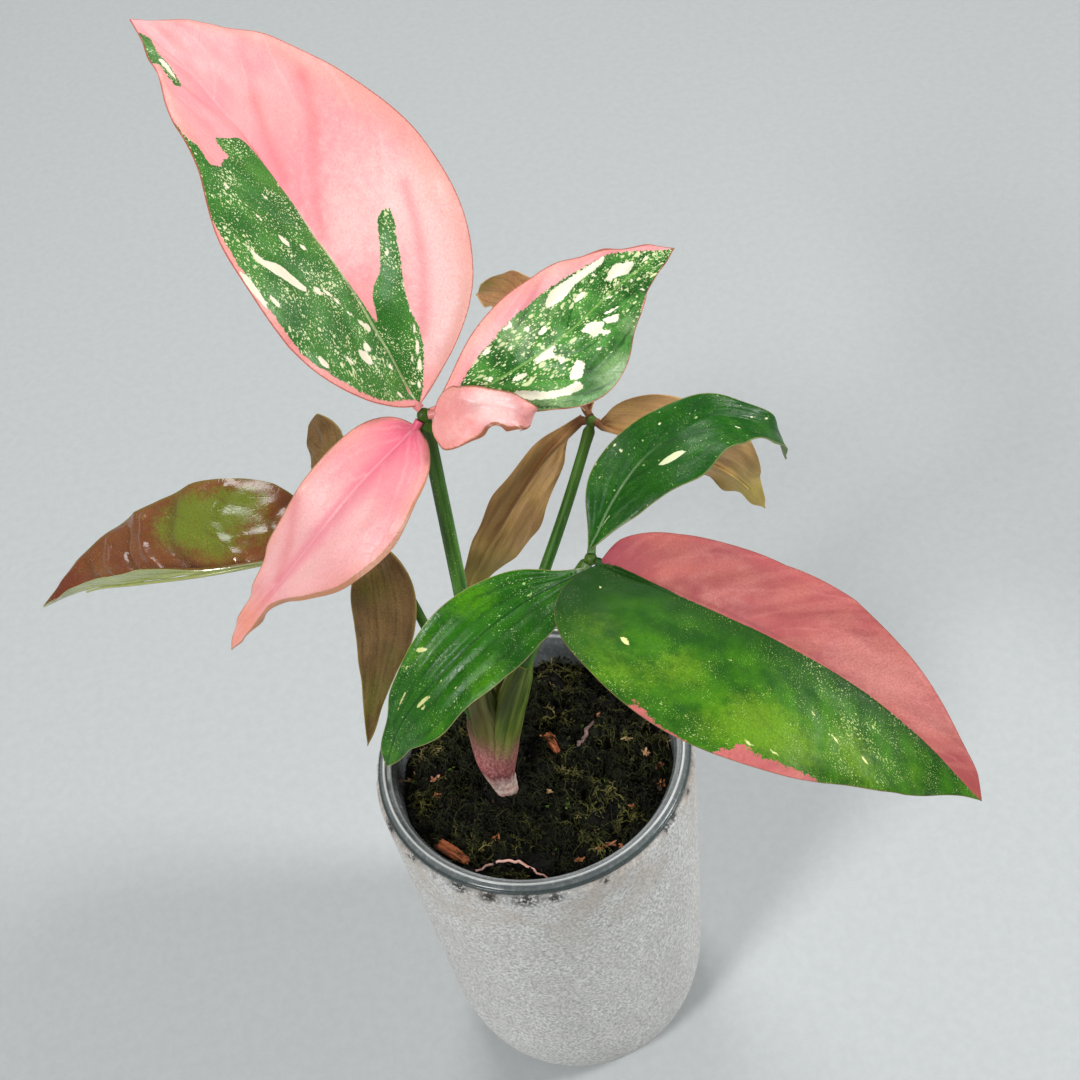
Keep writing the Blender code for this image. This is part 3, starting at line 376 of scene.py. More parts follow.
# Round cream flecks: (across, along, half length, half width), sizes in millimetres
FLECKS = {
    "leaf_a_middle": (
        (0.36, 0.282, 1.2, 0.7), (0.28, 0.272, 1.4, 0.5), (0.24, 0.25, 1.2, 0.4), (0.2, 0.22, 1.4, 0.35),
        (0.13, 0.19, 1.8, 0.5), (0.09, 0.178, 1.2, 0.8), (0.35, 0.37, 1.4, 0.8), (0.41, 0.155, 2.2, 1.1),
        (0.86, 0.205, 1.4, 0.8), (0.2, 0.352, 1.0, 0.6), (0.48, 0.413, 1.2, 0.4), (0.29, 0.162, 1.2, 0.7),
        (0.84, 0.3, 1.4, 0.6), (0.62, 0.18, 1.6, 0.35), (0.2, 0.1, 0.9, 0.5), (0.6, 0.06, 1.1, 0.5),
        (0.3, 0.45, 1.0, 0.4), (0.7, 0.47, 0.8, 0.5), (-0.4, 0.15, 1.2, 0.35), (-0.44, 0.12, 2.0, 0.45),
        (-0.5, 0.09, 1.4, 0.5), (-0.36, 0.1, 0.9, 0.3), (-0.52, 0.05, 1.2, 0.4), (-0.38, 0.18, 0.7, 0.35),
    ),
    "leaf_a_right": (
        (0.1, 0.16, 0.9, 0.5), (0.35, 0.25, 0.8, 0.5), (0.4, 0.31, 0.9, 0.6), (-0.5, 0.42, 0.7, 0.5),
        (0.52, 0.62, 0.8, 0.4), (-0.05, 0.62, 1.8, 0.3), (-0.2, 0.75, 0.9, 0.4), (0.3, 0.86, 1.0, 0.5),
        (-0.78, 0.72, 0.9, 0.5),
    ),
    "leaf_b_middle": (
        (-0.42, 0.08, 0.5, 0.4), (-0.6, 0.19, 1.0, 0.7), (-0.83, 0.4, 1.1, 0.4), (-0.86, 0.44, 1.0, 0.35),
        (-0.6, 0.55, 1.6, 0.3), (-0.7, 0.62, 1.2, 0.4), (-0.45, 0.5, 0.7, 0.35), (-0.3, 0.34, 0.6, 0.3),
    ),
    "leaf_b_left": (
        (0.12, 0.55, 0.6, 0.3), (-0.91, 0.56, 0.7, 0.3), (-0.79, 0.56, 0.7, 0.25), (0.5, 0.5, 0.9, 0.3),
    ),
    "leaf_b_upper": (
        (0.62, 0.29, 0.5, 0.4), (0.85, 0.29, 0.5, 0.35), (0.53, 0.41, 0.6, 0.3), (0.84, 0.42, 0.4, 0.3),
        (-0.47, 0.62, 0.8, 0.3), (-0.56, 0.33, 0.4, 0.3), (0.2, 0.7, 0.9, 0.25), (0.5, 0.75, 0.7, 0.3),
    ),
}


def smooth_read(places, values, at):
    """Read a smooth curve through values, given at places, at new places."""
    places = np.asarray(places, float)
    values = np.asarray(values, float)
    at = np.asarray(at, float)
    slopes = np.gradient(values, places, axis=0)
    left = np.clip(np.searchsorted(places, at, side="right") - 1, 0, len(places) - 2)
    step = places[left + 1] - places[left]
    share = (at - places[left]) / step
    if values.ndim > 1:
        share = share[:, None]
        step = step[:, None]
    start = (2 * share**3 - 3 * share**2 + 1) * values[left]
    start_slope = (share**3 - 2 * share**2 + share) * step * slopes[left]
    end = (-2 * share**3 + 3 * share**2) * values[left + 1]
    end_slope = (share**3 - share**2) * step * slopes[left + 1]
    return start + start_slope + end + end_slope


def smooth_path(points, shares):
    """Points on a smooth curve through points, at shares of its length."""
    points = np.asarray(points, float)
    chord = np.concatenate(([0.0], np.cumsum(np.linalg.norm(np.diff(points, axis=0), axis=1))))
    chord /= chord[-1]
    fine = np.linspace(0, 1, 400)
    trial = smooth_read(chord, points, fine)
    length = np.concatenate(([0.0], np.cumsum(np.linalg.norm(np.diff(trial, axis=0), axis=1))))
    return smooth_read(chord, points, np.interp(np.asarray(shares) * length[-1], length, fine))


def path_length(points):
    fine = smooth_path(points, np.linspace(0, 1, 400))
    return np.linalg.norm(np.diff(fine, axis=0), axis=1).sum()


def unit(vectors):
    return vectors / np.maximum(np.linalg.norm(vectors, axis=-1, keepdims=True), 1e-12)


def ease(low, high, value):
    """0 below low, 1 above high, and a soft step between."""
    share = np.clip((value - low) / (high - low), 0.0, 1.0)
    return share * share * (3 - 2 * share)


def rolling(x, y, size, seed):
    """Smooth random hills from -1 to 1, about size across."""
    table = np.random.default_rng(seed).uniform(-1, 1, (64, 64))
    x = np.asarray(x, float) / size + 31.7
    y = np.asarray(y, float) / size + 17.3
    left = np.floor(x).astype(int)
    low = np.floor(y).astype(int)
    u = ease(0, 1, x - left)
    v = ease(0, 1, y - low)
    corner = [[table[(left + i) % 64, (low + j) % 64] for j in (0, 1)] for i in (0, 1)]
    near = corner[0][0] * (1 - u) + corner[1][0] * u
    far = corner[0][1] * (1 - u) + corner[1][1] * u
    return near * (1 - v) + far * v


def blade_points(blade, shares, across):
    """Points (mm) on a blade's upper face."""
    step = 0.004
    centre = smooth_path(blade["midrib"], shares)
    ahead = smooth_path(blade["midrib"], np.clip(shares + step, 0, 1))
    behind = smooth_path(blade["midrib"], np.clip(shares - step, 0, 1))
    forward = unit(ahead - behind)
    base, tip = np.asarray(blade["facing"], float)
    up = base * (1 - shares)[:, None] + tip * shares[:, None]
    up = unit(up - (up * forward).sum(axis=1, keepdims=True) * forward)
    leftward = np.cross(up, forward)
    slant_base, slant_tip = blade["slant"]
    slant = np.radians(slant_tip - (slant_tip - slant_base) * (1 - shares)**3)
    half = half_width(blade, shares, across) * np.abs(across)
    folds = [np.interp(shares, np.linspace(0, 1, len(blade[key])), np.radians(blade[key]))
             for key in ("fold_left", "fold_right")]
    fold = np.where(across >= 0, folds[0], folds[1])
    flat = leftward * (np.sign(across) * np.cos(slant))[:, None] + forward * np.sin(slant)[:, None]
    return centre + half[:, None] * (flat * np.cos(fold)[:, None] + up * np.sin(fold)[:, None])


def half_width(blade, shares, across):
    return np.where(across >= 0, smooth_read(ALONG, blade["left"], shares),
                    smooth_read(ALONG, blade["right"], shares))


class Shape:
    """Points (mm), faces, and values carried by the points."""

    def __init__(self):
        self.points = []
        self.faces = []
        self.values = {}
        self.count = 0

    def add(self, points, faces, **values):
        """Add a piece of surface; every call gives the same kinds of values."""
        self.points.append(np.asarray(points, float))
        self.faces.extend(tuple(int(corner) + self.count for corner in face) for face in faces)
        for key, value in values.items():
            value = np.asarray(value, float)
            if value.ndim == 0:
                value = np.full(len(points), float(value))
            self.values.setdefault(key, []).append(value)
        self.count += len(points)

    def piece(self, name, finish, replaces=(), angle=60.0):
        """Make the object within the solids' box, ride it on the plant and hide the solids it stands for."""
        mesh = bpy.data.meshes.new(name)
        points = np.clip(np.concatenate(self.points) * MM, *np.array(cad_box))
        mesh.from_pydata(points, [], self.faces)
        for key, parts in self.values.items():
            data = np.concatenate(parts)
            kind = "FLOAT_VECTOR" if data.ndim > 1 else "FLOAT"
            layer = mesh.attributes.new(key, kind, "POINT")
            layer.data.foreach_set("vector" if data.ndim > 1 else "value", data.ravel().astype(np.float32))
        mesh.validate()
        mesh.materials.append(finish)
        mesh.shade_smooth()
        mesh.set_sharp_from_angle(angle=np.radians(angle))
        item = bpy.data.objects.new(name, mesh)
        bpy.context.scene.collection.objects.link(item)
        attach(item, "root")
        if replaces:
            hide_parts(*replaces)
        return item


def grid_faces(rows, columns, closed=False, flip=False, start=0):
    """Quads of a grid of points in rows; closed joins the last column to the first."""
    faces = []
    for row in range(rows - 1):
        for column in range(columns if closed else columns - 1):
            right = (column + 1) % columns
            face = (start + row * columns + column, start + row * columns + right,
                    start + (row + 1) * columns + right, start + (row + 1) * columns + column)
            faces.append(face[::-1] if flip else face)
    return faces


def frames_along(points):
    """Two directions square to a path at each of its points, turning as little as can be."""
    forward = unit(np.gradient(points, axis=0))
    side = np.zeros_like(points)
    start = np.cross(forward[0], (0.0, 0.0, 1.0))
    if np.linalg.norm(start) < 0.2:
        start = np.cross(forward[0], (0.0, 1.0, 0.0))
    side[0] = unit(start)
    for i in range(1, len(points)):
        turned = side[i - 1] - (side[i - 1] @ forward[i]) * forward[i]
        side[i] = unit(turned)
    return side, np.cross(forward, side)


def tube_surface(points, radii, sides, section=None):
    """Points, faces, turn round (0 to 1) and length along (mm) of a closed tube; section(turn, share)
    scales its radius."""
    points = np.asarray(points, float)
    side, up = frames_along(points)
    turn = np.linspace(0, 1, sides, endpoint=False)
    share = np.linspace(0, 1, len(points))
    radius = np.asarray(radii, float)[:, None] * np.ones(sides)
    if section is not None:
        radius = radius * section(turn[None, :], share[:, None])
    angle = 2 * np.pi * turn
    ring = (side[:, None, :] * np.cos(angle)[None, :, None] + up[:, None, :] * np.sin(angle)[None, :, None])
    surface = points[:, None, :] + ring * radius[:, :, None]
    length = np.concatenate(([0.0], np.cumsum(np.linalg.norm(np.diff(points, axis=0), axis=1))))
    rows = len(points)
    faces = grid_faces(rows, sides, closed=True, flip=False)
    everything = np.vstack((surface.reshape(-1, 3), points[:1], points[-1:]))
    first = rows * sides
    faces += [(first, (i + 1) % sides, i) for i in range(sides)]
    last_row = (rows - 1) * sides
    faces += [(first + 1, last_row + i, last_row + (i + 1) % sides) for i in range(sides)]
    turns = np.concatenate((np.tile(turn, rows), (0.0, 0.0)))
    lengths = np.concatenate((np.repeat(length, sides), length[:1], length[-1:]))
    return everything, faces, turns, lengths


def tint(red, green, blue):
    """A colour as the eye reads it (0 to 255) turned into the linear values that shaders take."""
    share = np.array((red, green, blue)) / 255.0
    linear = np.where(share <= 0.04045, share / 12.92, ((share + 0.055) / 1.055) ** 2.4)
    return (*[float(part) for part in linear], 1.0)


class Board:
    """Adds and joins the nodes of one material or node group."""

    def __init__(self, tree):
        self.tree = tree

    def node(self, kind, inputs=(), **settings):
        made = self.tree.nodes.new(kind)
        for key, value in settings.items():
            setattr(made, key, value)
        for key, value in dict(inputs).items():
            self.feed(made.inputs[key], value)
        return made

    def feed(self, socket, value):
        if isinstance(value, bpy.types.NodeSocket):
            self.tree.links.new(value, socket)
        else:
            socket.default_value = value

    def math(self, operation, first, second=0.0, third=0.0, clamp=False):
        made = self.node("ShaderNodeMath", {0: first, 1: second, 2: third}, operation=operation)
        made.use_clamp = clamp
        return made.outputs[0]

    def vector(self, operation, first, second=(0.0, 0.0, 0.0), scale=None):
        inputs = {0: first, 1: second}
        if scale is not None:
            inputs = {0: first, "Scale": scale}
        made = self.node("ShaderNodeVectorMath", inputs, operation=operation)
        return made.outputs["Vector"]

    def mix(self, share, first, second, blend="MIX"):
        made = self.node("ShaderNodeMix", {0: share, 6: first, 7: second}, data_type="RGBA")
        made.blend_type = blend
        return made.outputs[2]

    def step(self, value, low, high, start=0.0, end=1.0):
        inputs = {"Value": value, "From Min": low, "From Max": high, "To Min": start, "To Max": end}
        made = self.node("ShaderNodeMapRange", inputs, interpolation_type="SMOOTHSTEP")
        return made.outputs["Result"]

    def noise(self, place, scale, detail=3.0, roughness=0.55):
        inputs = {"Vector": place, "Scale": scale, "Detail": detail, "Roughness": roughness}
        return self.node("ShaderNodeTexNoise", inputs).outputs["Fac"]

    def cells(self, place, scale, feature="F1"):
        return self.node("ShaderNodeTexVoronoi", {"Vector": place, "Scale": scale}, feature=feature)

    def value(self, name):
        return self.node("ShaderNodeAttribute", attribute_name=name)

    def use(self, group, inputs):
        made = self.node("ShaderNodeGroup", node_tree=group)
        for key, value in inputs.items():
            self.feed(made.inputs[key], value)
        return made.outputs


def new_group(name, inputs, outputs):
    """An empty node group with named sockets, its board and the nodes at its two ends."""
    group = bpy.data.node_groups.new(name, "ShaderNodeTree")
    for label, kind in inputs:
        group.interface.new_socket(label, in_out="INPUT", socket_type=f"NodeSocket{kind}")
    for label, kind in outputs:
        group.interface.new_socket(label, in_out="OUTPUT", socket_type=f"NodeSocket{kind}")
    board = Board(group)
    source = board.node("NodeGroupInput").outputs
    target = board.node("NodeGroupOutput").inputs
    return group, board, source, target


def ragged_mark_group():
    """A mark's inside, from the distance (mm) to its outline, with a finely torn edge."""
    inputs = (("Distance", "Float"), ("Place", "Vector"), ("Ragged", "Float"), ("Soft", "Float"))
    group, board, source, target = new_group("ragged mark", inputs, (("Inside", "Float"),))
    coarse = board.math("SUBTRACT", board.noise(source["Place"], 0.9, 4.0, 0.7), 0.5)
    moved = board.math("MULTIPLY_ADD", coarse, source["Ragged"], source["Distance"])
    low = board.math("MULTIPLY", source["Soft"], -1.0)
    board.feed(target["Inside"], board.step(moved, low, source["Soft"]))
    return group


def speckle_group():
    """Small specks of many sizes, closer together in some places than in others."""
    inputs = (("Place", "Vector"), ("Spacing", "Float"), ("Largest", "Float"), ("Cover", "Float"))
    group, board, source, target = new_group("speckles", inputs, (("Speck", "Float"),))
    scale = board.math("DIVIDE", 1.0, source["Spacing"])
    bent = board.node("ShaderNodeTexNoise", {"Vector": source["Place"], "Scale": board.math("MULTIPLY", scale, 1.2)})
    shift = board.vector("SCALE", bent.outputs["Color"], scale=board.math("MULTIPLY", source["Spacing"], 0.26))
    place = board.vector("ADD", source["Place"], shift)
    cells = board.node("ShaderNodeTexVoronoi", {"Vector": place, "Scale": scale}, voronoi_dimensions="2D")
    size = board.node("ShaderNodeSeparateColor", {"Color": cells.outputs["Color"]}).outputs[0]
    size = board.math("POWER", size, 1.8)
    crowd = board.step(board.noise(source["Place"], 0.16, 2.0), 0.36, 0.68, 0.35, 1.2)
    radius = board.math("MULTIPLY", board.math("MULTIPLY", size, source["Largest"]), crowd)
    radius = board.math("MULTIPLY", radius, source["Cover"])
    inner = board.math("MULTIPLY", radius, 0.6)
    board.feed(target["Speck"], board.step(cells.outputs["Distance"], radius, inner))
    return group


def vein_group():
    """Fine lines where a blade's side veins run, and the height of the net of small veins between."""
    inputs = (("Away", "Float"), ("Width", "Float"), ("Place", "Vector"))
    outputs = (("Line", "Float"), ("Net", "Float"))
    group, board, source, target = new_group("veins", inputs, outputs)
    wander = board.math("SUBTRACT", board.noise(source["Place"], 0.4, 2.0), 0.5)
    away = board.math("ABSOLUTE", board.math("MULTIPLY_ADD", wander, 1.6, source["Away"]))
    strength = board.step(board.noise(source["Place"], 0.13, 2.0), 0.3, 0.65, 0.15, 1.0)
    board.feed(target["Line"], board.math("MULTIPLY", board.step(away, source["Width"], 0.0), strength))
    bent = board.node("ShaderNodeTexNoise", {"Vector": source["Place"], "Scale": 0.35, "Detail": 2.0})
    shift = board.vector("SCALE", bent.outputs["Color"], scale=2.5)
    net = board.cells(board.vector("ADD", source["Place"], shift), 0.33, "DISTANCE_TO_EDGE")
    board.feed(target["Net"], board.step(net.outputs["Distance"], 0.07, 0.0))
    return group


def skin_group():
    """The fine grain of a living surface: small cells, and soft unevenness of its gloss."""
    inputs = (("Place", "Vector"), ("Cell", "Float"))
    outputs = (("Height", "Float"), ("Gloss", "Float"))
    group, board, source, target = new_group("leaf skin", inputs, outputs)
    scale = board.math("DIVIDE", 1.0, source["Cell"])
    cells = board.cells(source["Place"], scale).outputs["Distance"]
    broad = board.noise(source["Place"], 0.45, 3.0)
    board.feed(target["Height"], board.math("MULTIPLY_ADD", broad, 1.2, cells))
    board.feed(target["Gloss"], board.step(board.noise(source["Place"], 0.22, 3.0), 0.3, 0.7))
    return group


def grain_group():
    """Fine two-way grain for cast and crumbly surfaces, with dark pits and pale grains."""
    inputs = (("Place", "Vector"), ("Size", "Float"))
    outputs = (("Mottle", "Float"), ("Pits", "Float"), ("Grains", "Float"), ("Height", "Float"))
    group, board, source, target = new_group("grain", inputs, outputs)
    scale = board.math("DIVIDE", 1.0, source["Size"])
    place = board.vector("SCALE", source["Place"], scale=scale)
    mottle = board.noise(place, 0.12, 4.0, 0.6)
    fine = board.noise(place, 1.6, 3.0, 0.7)
    pits = board.cells(place, 0.75)
    pit_size = board.node("ShaderNodeSeparateColor", {"Color": pits.outputs["Color"]}).outputs[0]
    pit_size = board.math("MULTIPLY", board.math("POWER", pit_size, 3.0), 0.42)
    pit = board.step(pits.outputs["Distance"], pit_size, board.math("MULTIPLY", pit_size, 0.4))
    grains = board.cells(place, 1.4)
    grain_size = board.node("ShaderNodeSeparateColor", {"Color": grains.outputs["Color"]}).outputs[1]
    grain_size = board.math("MULTIPLY", board.math("POWER", grain_size, 2.0), 0.4)
    grain = board.step(grains.outputs["Distance"], grain_size, board.math("MULTIPLY", grain_size, 0.5))
    height = board.math("SUBTRACT", board.math("MULTIPLY_ADD", fine, 0.6, mottle), pit)
    board.feed(target["Mottle"], mottle)
    board.feed(target["Pits"], pit)
    board.feed(target["Grains"], grain)
    board.feed(target["Height"], height)
    return group


def fibre_group():
    """Streaks that run along a stalk, sheath, root or chip: place is (round, along, seed) in mm."""
    inputs = (("Place", "Vector"), ("Width", "Float"), ("Stretch", "Float"))
    group, board, source, target = new_group("fibres", inputs, (("Streak", "Float"), ("Fine", "Float")))
    parts = board.node("ShaderNodeSeparateXYZ", {"Vector": source["Place"]}).outputs
    across = board.math("DIVIDE", parts["X"], source["Width"])
    along = board.math("DIVIDE", parts["Y"], board.math("MULTIPLY", source["Width"], source["Stretch"]))
    place = board.node("ShaderNodeCombineXYZ", {"X": across, "Y": along, "Z": parts["Z"]}).outputs[0]
    board.feed(target["Streak"], board.noise(place, 0.5, 2.0))
    board.feed(target["Fine"], board.noise(place, 1.7, 3.0))
    return group


GROUPS = {
    "mark": ragged_mark_group(), "speckles": speckle_group(), "veins": vein_group(),
    "skin": skin_group(), "grain": grain_group(), "fibres": fibre_group(),
}


def new_finish(name):
    """An empty material with its board and its shader."""
    finish = bpy.data.materials.new(name)
    finish.use_nodes = True
    board = Board(finish.node_tree)
    shader = finish.node_tree.nodes["Principled BSDF"]
    return finish, board, shader


def bump(board, shader, height, distance, strength=1.0):
    inputs = {"Height": height, "Distance": distance * MM, "Strength": strength}
    made = board.node("ShaderNodeBump", inputs)
    board.feed(shader.inputs["Normal"], made.outputs["Normal"])


def blade_finish(name, look):
    """A blade: ground colour, marks of a second colour, specks, cream marks, veins and edge line, with painted shade
    along the furrows of its creases.
    """
    finish, board, shader = new_finish(name)
    place = board.value("place").outputs["Vector"]
    spot = board.node("ShaderNodeSeparateXYZ", {"Vector": board.value("spot").outputs["Vector"]}).outputs
    across = board.math("ABSOLUTE", spot["X"])
    under = board.value("under").outputs["Fac"]
    broad = board.step(board.noise(place, look.get("cloud", 0.09), 3.0), 0.32, 0.68)
    ground = board.mix(broad, look["ground"][0], look["ground"][1])
    tone = board.value("tone").outputs["Fac"]
    uneven = board.math("SUBTRACT", board.noise(place, 0.5, 4.0, 0.65), 0.5)
    torn = board.math("MULTIPLY_ADD", uneven, look.get("torn", 1.1), tone)
    ground = board.mix(board.step(torn, 0.1, 0.9, 0.0, look["tone"][1]), ground, look["tone"][0])
    if "rib" in look:
        ground = board.mix(board.step(across, 0.32, 0.0, 0.0, look["rib"][1]), ground, look["rib"][0])
    for part in ("near", "far"):
        if part in look:
            colour, low, high = look[part]
            ground = board.mix(board.step(spot["Y"], low, high), ground, colour)
    if "margin" in look:
        outer = board.math("MULTIPLY_ADD", uneven, 0.3, across)
        ground = board.mix(board.step(outer, 0.7, 1.0, 0.0, look["margin"][1]), ground, look["margin"][0])
    fine = board.noise(place, 1.9, 3.0, 0.7)
    if "streak" in look:
        streak = board.use(GROUPS["fibres"], {"Place": place, "Width": 1.3, "Stretch": 9.0})["Streak"]
        ground = board.mix(board.step(streak, 0.42, 0.6, 0.0, look["streak"][1]), ground, look["streak"][0])
    veins = board.use(GROUPS["veins"], {
        "Away": board.value("vein").outputs["Fac"], "Width": look.get("vein_width", 0.7), "Place": place})
    lines = board.math("MULTIPLY", veins["Line"], look["vein"][1])
    ground = board.mix(lines, ground, look["vein"][0])
    # Painted shade: the colour darkens towards the look's shade colour along crease furrows.
    painted_crease_shade = board.math("MULTIPLY", board.value("fold").outputs["Fac"], 0.45)
    ground = board.mix(painted_crease_shade, ground, look["shade"])
    inside = board.use(GROUPS["mark"], {
        "Distance": board.value("mark").outputs["Fac"], "Place": place, "Soft": 0.1,
        "Ragged": board.step(across, 0.05, 0.5, 0.35, look.get("ragged", 1.1))})["Inside"]
    mark = board.mix(board.step(board.noise(place, 0.11, 2.0), 0.35, 0.65), look["mark"][0], look["mark"][1])
    # The mark's own lighter tone; on leaf A middle it is partly painted sheen.
    if "mark_tone" in look:
        torn = board.math("MULTIPLY_ADD", uneven, 0.8, board.value("mark_tone").outputs["Fac"])
        mark = board.mix(board.step(torn, 0.1, 0.9, 0.0, look["mark_tone"][1]), mark, look["mark_tone"][0])
    mark_lines = board.math("MULTIPLY", veins["Line"], look.get("mark_lines", 0.35))
    mark = board.mix(mark_lines, mark, look.get("mark_vein", look["mark"][0]))
    if "mark_streak" in look:
        turned = board.node("ShaderNodeMapping", {"Vector": place, "Rotation": (0.0, 0.0, 0.87)}).outputs[0]
        streak = board.use(GROUPS["fibres"], {"Place": turned, "Width": 1.6, "Stretch": 9.0})["Streak"]
        mark = board.mix(board.step(streak, 0.45, 0.65, 0.0, look["mark_streak"][1]), mark, look["mark_streak"][0])
    if "mark_shade" in look:
        mark = board.mix(board.step(board.noise(place, 2.2, 3.0, 0.7), 0.45, 0.8, 0.0, 0.35), mark, look["mark_shade"])
        mark = board.mix(board.step(spot["Y"], 0.14, 0.0, 0.0, 0.75), mark, tint(172, 62, 92))
        mark = board.mix(board.step(spot["Y"], 0.82, 1.0, 0.0, 0.7), mark, tint(166, 70, 66))
    ground = board.mix(board.step(fine, 0.3, 0.75, 0.0, look.get("mottle", 0.14)), ground, look["shade"])
    dark = look.get("mark_dark", look["mark"][0])
    mark = board.mix(board.step(fine, 0.4, 0.75, 0.0, 0.5), mark, dark)
    speck_colour = look["speck"]
    parts = board.node("ShaderNodeSeparateXYZ", {"Vector": place}).outputs
    onward = board.math("MULTIPLY", parts["Y"], look.get("stretch", 1.0))
    speck_place = board.node("ShaderNodeCombineXYZ", {"X": parts["X"], "Y": onward}).outputs[0]
    crowd = board.value("crowd").outputs["Fac"]
    for target, spacing, largest, cover in look["specks"]:
        covered = board.math("MAXIMUM", board.math("ADD", crowd, cover), 0.0)
        speck = board.use(GROUPS["speckles"], {
            "Place": speck_place, "Spacing": spacing, "Largest": largest, "Cover": covered})["Speck"]
        if target == "mark":
            mark = board.mix(board.math("MULTIPLY", speck, 0.85), mark, speck_colour)
        else:
            ground = board.mix(board.math("MULTIPLY", speck, 0.8), ground, speck_colour)
    colour = board.mix(inside, ground, mark)
    cream = board.use(GROUPS["mark"], {
        "Distance": board.value("cream").outputs["Fac"], "Place": place, "Ragged": look.get("cream_ragged", 0.8),
        "Soft": 0.09})["Inside"]
    colour = board.mix(cream, colour, look["cream"])
    # A line along the midrib towards the base, in each look's own colour; on the dark green blade its pale line is a
    # painted highlight, a glossy streak.
    if "rib_line" in look:
        line_colour, share, end = look["rib_line"]
        line = board.step(board.math("MULTIPLY_ADD", fine, 0.3, board.value("middle").outputs["Fac"]), 0.6, 0.2)
        line = board.math("MULTIPLY", line, board.step(spot["Y"], end, end - 0.25, 0.0, share))
        colour = board.mix(line, colour, line_colour)
    edge = board.value("edge").outputs["Fac"]
    ragged_edge = board.math("MULTIPLY_ADD", board.math("SUBTRACT", fine, 0.5), -0.5, edge)
    rim = board.step(ragged_edge, look["rim"][1], 0.1)
    colour = board.mix(board.math("MULTIPLY", rim, look["rim"][2]), colour, look["rim"][0])
    beneath = board.mix(broad, look["under"][0], look["under"][1])
    if "streak" in look:
        beneath = board.mix(board.step(streak, 0.4, 0.62, 0.0, look["streak"][1]), beneath, look["streak"][0])
    for part in ("near", "under_far"):
        if part in look:
            colour_there, low, high = look[part]
            beneath = board.mix(board.step(spot["Y"], low, high, 0.0, 0.85), beneath, colour_there)
    beneath = board.mix(board.math("MULTIPLY", veins["Line"], 0.4), beneath, look["under"][1])
    beneath = board.mix(board.step(fine, 0.3, 0.75, 0.0, 0.2), beneath, look["shade"])
    colour = board.mix(under, colour, beneath)
    board.feed(shader.inputs["Base Color"], colour)
    skin = board.use(GROUPS["skin"], {"Place": place, "Cell": 0.45})
    low, high = look["rough"]
    board.feed(shader.inputs["Roughness"], board.step(skin["Gloss"], 0.0, 1.0, high, low))
    shader.inputs["Specular IOR Level"].default_value = look.get("gloss", 0.28)
    shader.inputs["Subsurface Weight"].default_value = look.get("glow_through", 0.12)
    shader.inputs["Subsurface Radius"].default_value = (0.9, 0.5, 0.35)
    shader.inputs["Subsurface Scale"].default_value = 0.9 * MM
    height = board.math("SUBTRACT", board.math("MULTIPLY", skin["Height"], 0.5), veins["Net"])
    bump(board, shader, height, 0.09, look.get("bump", 0.55))
    return finish


PINK_BLADE = dict(
    ground=(tint(242, 156, 162), tint(246, 172, 170)), tone=(tint(254, 218, 212), 0.85), torn=0.8, cloud=0.05,
    rib=(tint(240, 140, 154), 0.12), vein=(tint(252, 204, 200), 0.3), shade=tint(230, 120, 128), mottle=0.35,
    margin=(tint(240, 168, 146), 0.6), ragged=1.6,
    mark=(tint(46, 108, 34), tint(76, 138, 52)), mark_dark=tint(30, 86, 22), speck=tint(228, 236, 180), stretch=0.9,
    # The lighter grey-green mark tone is partly painted sheen on leaf A middle's second patch.
    mark_tone=(tint(104, 152, 104), 0.75),
    specks=(("mark", 0.42, 0.5, 1.1), ("mark", 0.8, 0.42, 1.0), ("mark", 2.4, 0.26, 0.85)),
    rib_line=(tint(206, 214, 158), 0.6, 0.5), cream=tint(250, 238, 212), rim=(tint(170, 84, 62), 0.4, 0.85),
    under=(tint(232, 150, 146), tint(206, 124, 116)), rough=(0.36, 0.5), glow_through=0.15, bump=0.35)
